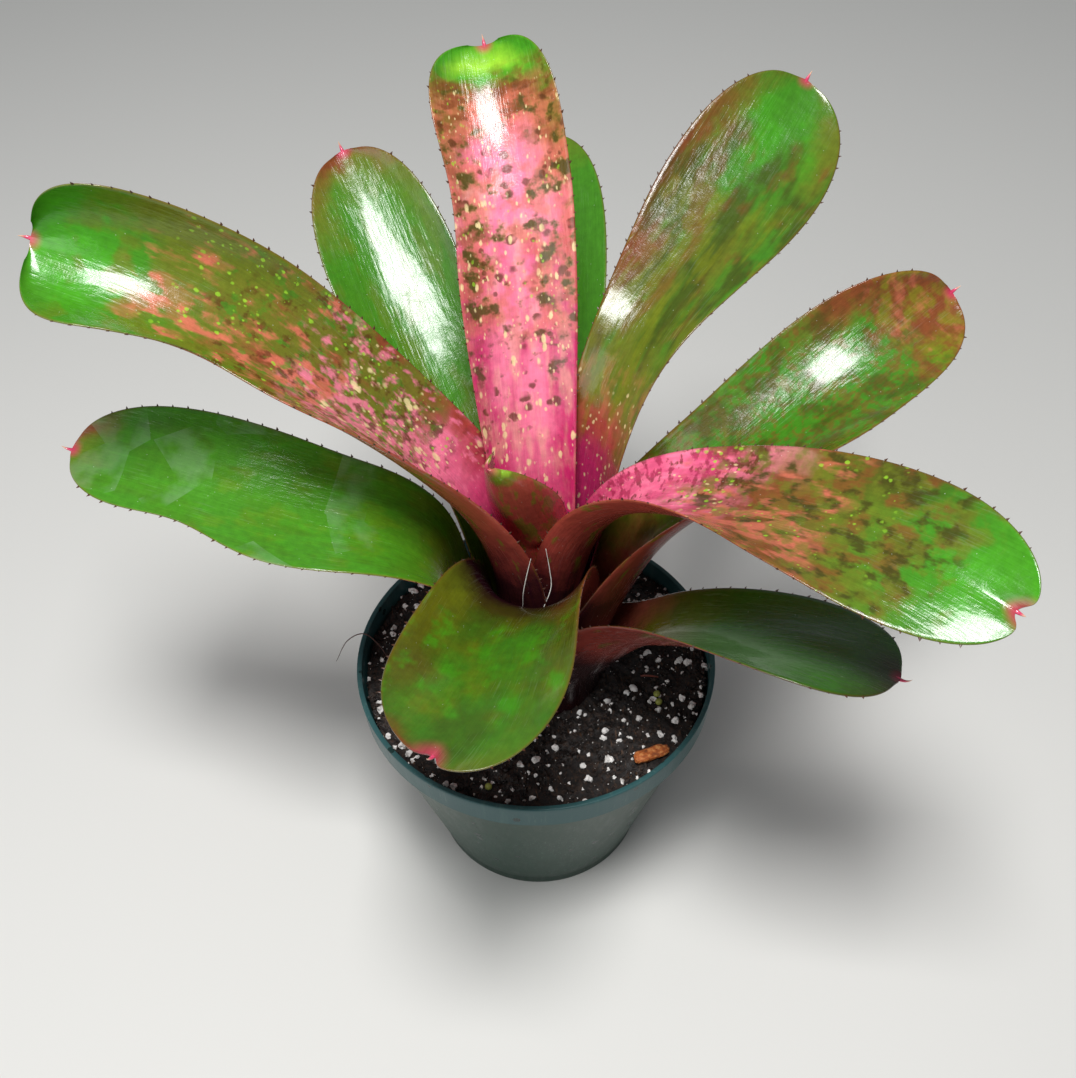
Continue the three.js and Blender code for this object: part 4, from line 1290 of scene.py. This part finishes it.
def grain_tree():
    """Scatters lumpy grains over a surface, each one its own shape."""
    board, given, result = make_group(
        "Scattered grains", "GeometryNodeTree",
        [("Geometry", GEOMETRY, None), ("Density", FLOAT, 10000.0), ("Smallest", FLOAT, 0.0005),
         ("Largest", FLOAT, 0.002), ("Squash", FLOAT, 0.75), ("Skew", FLOAT, 2.2), ("Lumps", FLOAT, 0.35),
         ("Facets", WHOLE, 2), ("Seed", WHOLE, 0), ("Material", MATERIAL, None)],
        [("Geometry", GEOMETRY)])
    points = board.out("GeometryNodeDistributePointsOnFaces", {
        "Mesh": given["Geometry"], "Density": given["Density"], "Seed": given["Seed"]}, "Points",
        distribute_method="RANDOM")
    grain = board.out("GeometryNodeMeshIcoSphere", {"Radius": 1.0, "Subdivisions": given["Facets"]}, "Mesh")
    turn = board.chance((0, 0, 0), (6.283, 6.283, 6.283), given["Seed"], "FLOAT_VECTOR")
    chance = board.math("POWER", board.chance(0.0, 1.0, given["Seed"]), given["Skew"])
    spread = board.minus(given["Largest"], given["Smallest"])
    size = board.plus(given["Smallest"], board.times(chance, spread))
    thin = board.times(size, given["Squash"])
    scale = board.out("ShaderNodeCombineXYZ", {"X": size, "Y": thin, "Z": thin})
    placed = board.out("GeometryNodeInstanceOnPoints", {
        "Points": points, "Instance": grain, "Rotation": turn, "Scale": scale})
    placed = board.out("GeometryNodeRealizeInstances", {"Geometry": placed})
    position = board.out("GeometryNodeInputPosition")
    normal = board.out("GeometryNodeInputNormal")
    lump = board.minus(board.noise(position, 620.0, 2.0, 0.6), 0.5)
    push = board.times(lump, board.times(given["Lumps"], LUMP_PUSH))
    placed = board.out("GeometryNodeSetPosition", {"Geometry": placed, "Offset": board.scaled(normal, push)})
    placed = board.out("GeometryNodeSetMaterial", {"Geometry": placed, "Material": given["Material"]})
    board.fill(result["Geometry"], placed)
    return board.tree


def soil_patch(name):
    """A bare ring of the soil's top for grains to lie on."""
    points, faces = [], []
    for ring in range(PATCH_RINGS + 1):
        radius = mix(CROWN_RADIUS, POT_HIGH.x - LIP_PROUD, ring / PATCH_RINGS)
        points += [(x, y, soil_top(x, y)) for x, y in circle(PATCH_SIDES, radius)]
    for ring in range(PATCH_RINGS):
        faces += ring_quads(ring * PATCH_SIDES, PATCH_SIDES, inward=True)
    return new_object(name, points, faces)


def scatter(name, material, values):
    """One kind of grain, strewn over the soil and made one mesh."""
    patch = soil_patch(name)
    add_tree(patch, shared("Scattered grains", grain_tree), {**values, "Material": material})
    settle(patch)
    dress(patch, [])


# ---- loose bits -------------------------------------------------------------------------

# Each strand is a path in metres, its radius and its colour.
STRANDS = [
    ("root_fibre", [(-0.064, 0.003, 0.1045), (-0.069, 0.009, 0.109), (-0.0755, 0.0125, 0.1125),
                    (-0.083, 0.011, 0.1095), (-0.088, 0.005, 0.103)], 0.00025, "4a2a20"),
    ("twig", [(0.044, -0.0075, 0.1045), (0.048, -0.008, 0.1055), (0.053, -0.0085, 0.105)], 0.0005, "6a3022"),
    ("pale_thread_left", [(-0.001, -0.0175, 0.192), (-0.0028, -0.0175, 0.182), (-0.0043, -0.0168, 0.171),
                          (-0.0047, -0.016, 0.161)], 0.0002, "f6f4ec"),
    ("pale_thread_right", [(0.0048, -0.0125, 0.192), (0.0062, -0.0128, 0.18), (0.0066, -0.0133, 0.17),
                           (0.0032, -0.0168, 0.161)], 0.0002, "f6f4ec"),
]
STRAND_STEPS, STRAND_SIDES = 10, 8
PRILLS = [(0.0515, -0.0175, 0.105), (0.052, -0.0215, 0.1048), (-0.02, -0.062, 0.1045)]
PRILL_RADIUS = 0.0015
CHIP_PLACE, CHIP_TURN, CHIP_TILT = (0.047, -0.048, 0.105), math.radians(24), 0.12
CHIP_LENGTH, CHIP_WIDTH, CHIP_HEIGHT = 0.016, 0.0055, 0.0028
CHIP_COLUMNS, CHIP_SIDES, CHIP_SEED = 26, 14, 4.0


def bark_chip(name):
    """A rough split chip of bark, longer than it is wide."""
    points = []
    spin = Matrix.Rotation(CHIP_TURN, 3, "Z") @ Matrix.Rotation(CHIP_TILT, 3, "Y")
    for column in range(CHIP_COLUMNS):
        s = column / (CHIP_COLUMNS - 1)
        swell = (1 - abs(2 * s - 1) ** 5) ** 0.5 + 0.02
        for x, y in circle(CHIP_SIDES):
            square = 1 / max(abs(x), abs(y)) ** 0.6
            spot = Vector(((s - 0.5) * CHIP_LENGTH, CHIP_WIDTH / 2 * swell * square * x,
                           CHIP_HEIGHT / 2 * swell * square * y))
            ridge = noise.noise(Vector((spot.x * 150, spot.y * 1400, spot.z * 1400 + CHIP_SEED)))
            spot *= 1 + 0.22 * ridge
            points.append(tuple(Vector(CHIP_PLACE) + spin @ spot))
    return new_object(name, points, tube_faces(CHIP_COLUMNS, CHIP_SIDES))


def bark_material():
    """Thin layers, from dark brown to pale orange."""
    settings = bpy.context.scene.neoregelia_soil
    material, board, shader = new_material("bark")
    layers = board.stretched(board.place(), (300.0, 500.0, 1400.0), 4.0, 0.65)
    colour = board.ramp(layers, [(0.3, opaque("4a2412")), (0.5, opaque(settings.bark)),
                                 (0.7, opaque("d39a5c"))])
    finish_shader(board, shader, Base_Color=colour, Roughness=0.7, Normal=board.bump(layers, 0.8, 0.0005))
    return material


def plain_material(name, code):
    """One colour with a little light and shade in it."""
    material, board, shader = new_material(name)
    value = board.plus(0.65, board.times(board.noise(board.place(), 500.0, 3.0), 0.7))
    finish_shader(board, shader, Base_Color=board.lighten(opaque(code), value), Roughness=0.5)
    return material


def smooth_path(path):
    """Close steps along a smooth curve through every point of a path."""
    path = [Vector(p) for p in path]
    ends = [path[0] * 2 - path[1]] + path + [path[-1] * 2 - path[-2]]
    steps = []
    for a, b, c, d in zip(ends, ends[1:], ends[2:], ends[3:]):
        for step in range(STRAND_STEPS):
            s = step / STRAND_STEPS
            steps.append(0.5 * (2 * b + (c - a) * s + (2 * a - 5 * b + 4 * c - d) * s * s
                                + (3 * b - a - 3 * c + d) * s ** 3))
    return steps + [path[-1]]


def strand(name, path, radius):
    """A thin round fibre through a path, tapering to its ends."""
    steps = smooth_path(path)
    points = []
    for k, spot in enumerate(steps):
        way = (steps[min(k + 1, len(steps) - 1)] - steps[max(k - 1, 0)]).normalized()
        side = way.cross(Vector((0.3, 0.9, 0.2))).normalized()
        up = way.cross(side)
        here = radius * (0.35 + 0.65 * math.sin(math.pi * (k + 0.5) / len(steps)))
        points += [spot + here * (side * x + up * y) for x, y in circle(STRAND_SIDES)]
    return new_object(name, points, tube_faces(len(steps), STRAND_SIDES))


def bead(name, place, radius):
    """A smooth round bead."""
    shape = bmesh.new()
    bmesh.ops.create_icosphere(shape, subdivisions=3, radius=radius, matrix=Matrix.Translation(place))
    thing = new_object(name, [], [])
    shape.to_mesh(thing.data)
    shape.free()
    thing.data.polygons.foreach_set("use_smooth", [True] * len(thing.data.polygons))
    return thing


# ---- operators --------------------------------------------------------------------------


class NEOREGELIA_OT_pot(bpy.types.Operator):
    """Makes the smooth plastic pot with its lip, foot and drain holes"""
    bl_idname = "neoregelia.pot"
    bl_label = "Pot"

    def execute(self, context):
        pot = lathe("nursery_pot", pot_profile(context.scene.neoregelia_pot), POT_SEGMENTS)
        drill_drains(pot)
        pot.data.set_sharp_from_angle(angle=math.radians(38))
        dress(pot, [pot_material()], ["pot"])
        return {"FINISHED"}


class NEOREGELIA_OT_soil(bpy.types.Operator):
    """Makes the body of peat that fills the pot"""
    bl_idname = "neoregelia.soil"
    bl_label = "Soil"

    def execute(self, context):
        dress(soil_mesh(), [peat_material("peat", 0.7)], ["soil"])
        return {"FINISHED"}


class NEOREGELIA_OT_grains(bpy.types.Operator):
    """Strews peat crumbs, perlite grains and perlite dust over the soil; the dust's white specks also stand
    in for glints, a painted sparkle
    """
    bl_idname = "neoregelia.grains"
    bl_label = "Grains"

    def execute(self, context):
        settings = context.scene.neoregelia_soil
        crumbs = peat_material("peat_crumb", 0.9)
        scatter("peat_crumbs", crumbs, {
            "Density": settings.crumb_density, "Smallest": 0.0003, "Largest": 0.0016, "Facets": 1,
            "Squash": 0.7, "Lumps": 0.3, "Seed": 3})
        perlite = perlite_material()
        scatter("perlite_grains", perlite, {
            "Density": settings.perlite_density, "Smallest": 0.0004, "Largest": 0.0023, "Facets": 2,
            "Squash": 0.75, "Skew": 2.2, "Lumps": 1.0, "Seed": 8})
        # White specks of perlite dust that also stand in for glints: painted sparkle.
        scatter("perlite_dust_and_glints", perlite, {
            "Density": settings.dust_density, "Smallest": 0.0001, "Largest": 0.0004, "Facets": 1,
            "Squash": 0.6, "Skew": 1.5, "Lumps": 0.0, "Seed": 5})
        return {"FINISHED"}


class NEOREGELIA_OT_loose_bits(bpy.types.Operator):
    """Lays the bark chip, the root fibre, the twig, the pale threads and the fertiliser prills"""
    bl_idname = "neoregelia.loose_bits"
    bl_label = "Loose bits"

    def execute(self, context):
        dress(bark_chip("bark_chip"), [bark_material()])
        for name, path, radius, code in STRANDS:
            dress(strand(name, path, radius), [plain_material(name, code)])
        beads = [bead("prill", place, PRILL_RADIUS) for place in PRILLS]
        dress(join("fertiliser_prills", beads), [plain_material("prill", "8f9440")])
        return {"FINISHED"}


class NEOREGELIA_OT_stem(bpy.types.Operator):
    """Gives the short hidden stem its woody finish"""
    bl_idname = "neoregelia.stem"
    bl_label = "Stem"

    def execute(self, context):
        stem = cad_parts["stem"]
        material, board, shader = new_material("stem_wood")
        scars = board.stretched(board.place(), (200.0, 200.0, 900.0), 3.0)
        colour = board.blend(scars, opaque("4a3a24"), opaque("8d7a52"))
        finish_shader(board, shader, Base_Color=colour, Roughness=0.8)
        stem.data.materials.clear()
        stem.data.materials.append(material)
        return {"FINISHED"}


class NEOREGELIA_OT_heart_leaf(bpy.types.Operator):
    """Grows the young rolled leaf in the middle"""
    bl_idname = "neoregelia.heart_leaf"
    bl_label = "Heart leaf"

    def execute(self, context):
        grow_leaf("leaf_heart")
        return {"FINISHED"}


class NEOREGELIA_OT_rose_leaves(bpy.types.Operator):
    """Grows the three pink inner leaves"""
    bl_idname = "neoregelia.rose_leaves"
    bl_label = "Rose leaves"

    def execute(self, context):
        for name in ("leaf_back_rose", "leaf_right_rose", "leaf_left_rose"):
            grow_leaf(name)
        return {"FINISHED"}


class NEOREGELIA_OT_green_leaves(bpy.types.Operator):
    """Grows the seven green outer leaves"""
    bl_idname = "neoregelia.green_leaves"
    bl_label = "Green leaves"

    def execute(self, context):
        for name in ("leaf_back_right", "leaf_front", "leaf_back_left", "leaf_behind", "leaf_right",
                     "leaf_low_left"):
            grow_leaf(name)
        grow_leaf("leaf_low_right")
        return {"FINISHED"}


# Lengths in metres. Each light has its place, the side of its square and its share of the power.
FLOOR_REACH = 4.0
LIT_PLACE = (0, 0, 0.2)
LIGHTS = {"key": ((-0.03, -0.3, 1.32), 0.36, 1.0), "fill": ((-0.8, -0.9, 0.8), 0.9, 0.35)}
STUDIO_COLOUR, STUDIO_STRENGTH = (0.9, 0.95, 1.0), 0.2


def area_light(name, place, side, power):
    """A square light that faces the plant."""
    data = bpy.data.lights.new(name, "AREA")
    data.shape = "RECTANGLE"
    data.size = data.size_y = side
    data.energy = power
    light = bpy.data.objects.new(name, data)
    light.location = place
    light.rotation_euler = (Vector(LIT_PLACE) - Vector(place)).to_track_quat("-Z", "Y").to_euler()
    bpy.context.scene.collection.objects.link(light)


class NEOREGELIA_OT_stage(bpy.types.Operator):
    """Sets the floor, the lights and the camera"""
    bl_idname = "neoregelia.stage"
    bl_label = "Stage"

    def execute(self, context):
        settings = context.scene.neoregelia_stage
        low, high = -FLOOR_REACH, FLOOR_REACH
        floor = new_object("floor", [(low, low, 0), (high, low, 0), (high, high, 0), (low, high, 0)],
                           [(0, 1, 2, 3)])
        material, board, shader = new_material("floor")
        finish_shader(board, shader, Base_Color=opaque(settings.floor), Roughness=0.8)
        floor.data.materials.append(material)
        for name, (place, side, share) in LIGHTS.items():
            area_light(name, place, side, settings.key_power * share)
        world = bpy.data.worlds.new("studio")
        world.use_nodes = True
        background = world.node_tree.nodes["Background"].inputs
        background["Color"].default_value = opaque(STUDIO_COLOUR)
        background["Strength"].default_value = STUDIO_STRENGTH
        context.scene.world = world
        context.scene.view_settings.view_transform = "Standard"
        camera = bpy.data.objects.new("camera", bpy.data.cameras.new("camera"))
        camera.data.lens = settings.lens
        turned = Matrix.Rotation(math.pi / 2 - settings.camera_pitch, 4, "X") @ Matrix.Rotation(
            settings.camera_roll, 4, "Z")
        camera.matrix_world = Matrix.Translation(settings.camera_place) @ turned
        context.scene.collection.objects.link(camera)
        context.scene.camera = camera
        return {"FINISHED"}


class NEOREGELIA_PT_panel(bpy.types.Panel):
    """Lists the plant's settings and pieces"""
    bl_idname = "NEOREGELIA_PT_panel"
    bl_label = "Neoregelia"
    bl_space_type = "VIEW_3D"
    bl_region_type = "UI"
    bl_category = "Neoregelia"

    def draw(self, context):
        for name, settings in SETTINGS.items():
            box = self.layout.box()
            box.label(text=settings.__doc__)
            for key in settings.__annotations__:
                box.prop(getattr(context.scene, name), key)
        for operator in OPERATORS:
            self.layout.operator(operator.bl_idname)


SETTINGS = {
    "neoregelia_leaves": LeafSettings,
    "neoregelia_pot": PotSettings,
    "neoregelia_soil": SoilSettings,
    "neoregelia_stage": StageSettings,
}
OPERATORS = (
    NEOREGELIA_OT_stage, NEOREGELIA_OT_pot, NEOREGELIA_OT_soil, NEOREGELIA_OT_grains,
    NEOREGELIA_OT_loose_bits, NEOREGELIA_OT_stem, NEOREGELIA_OT_heart_leaf, NEOREGELIA_OT_rose_leaves,
    NEOREGELIA_OT_green_leaves,
)


def register():
    for settings in SETTINGS.values():
        bpy.utils.register_class(settings)
    for name, settings in SETTINGS.items():
        setattr(bpy.types.Scene, name, bpy.props.PointerProperty(type=settings))
    for operator in OPERATORS:
        bpy.utils.register_class(operator)
    bpy.utils.register_class(NEOREGELIA_PT_panel)


def unregister():
    bpy.utils.unregister_class(NEOREGELIA_PT_panel)
    for operator in reversed(OPERATORS):
        bpy.utils.unregister_class(operator)
    for name, settings in reversed(SETTINGS.items()):
        delattr(bpy.types.Scene, name)
        bpy.utils.unregister_class(settings)


def main():
    register()
    bpy.ops.neoregelia.stage()
    bpy.ops.neoregelia.pot()
    bpy.ops.neoregelia.soil()
    bpy.ops.neoregelia.grains()
    bpy.ops.neoregelia.loose_bits()
    bpy.ops.neoregelia.stem()
    bpy.ops.neoregelia.heart_leaf()
    bpy.ops.neoregelia.rose_leaves()
    bpy.ops.neoregelia.green_leaves()


if __name__ == "__main__":
    main()
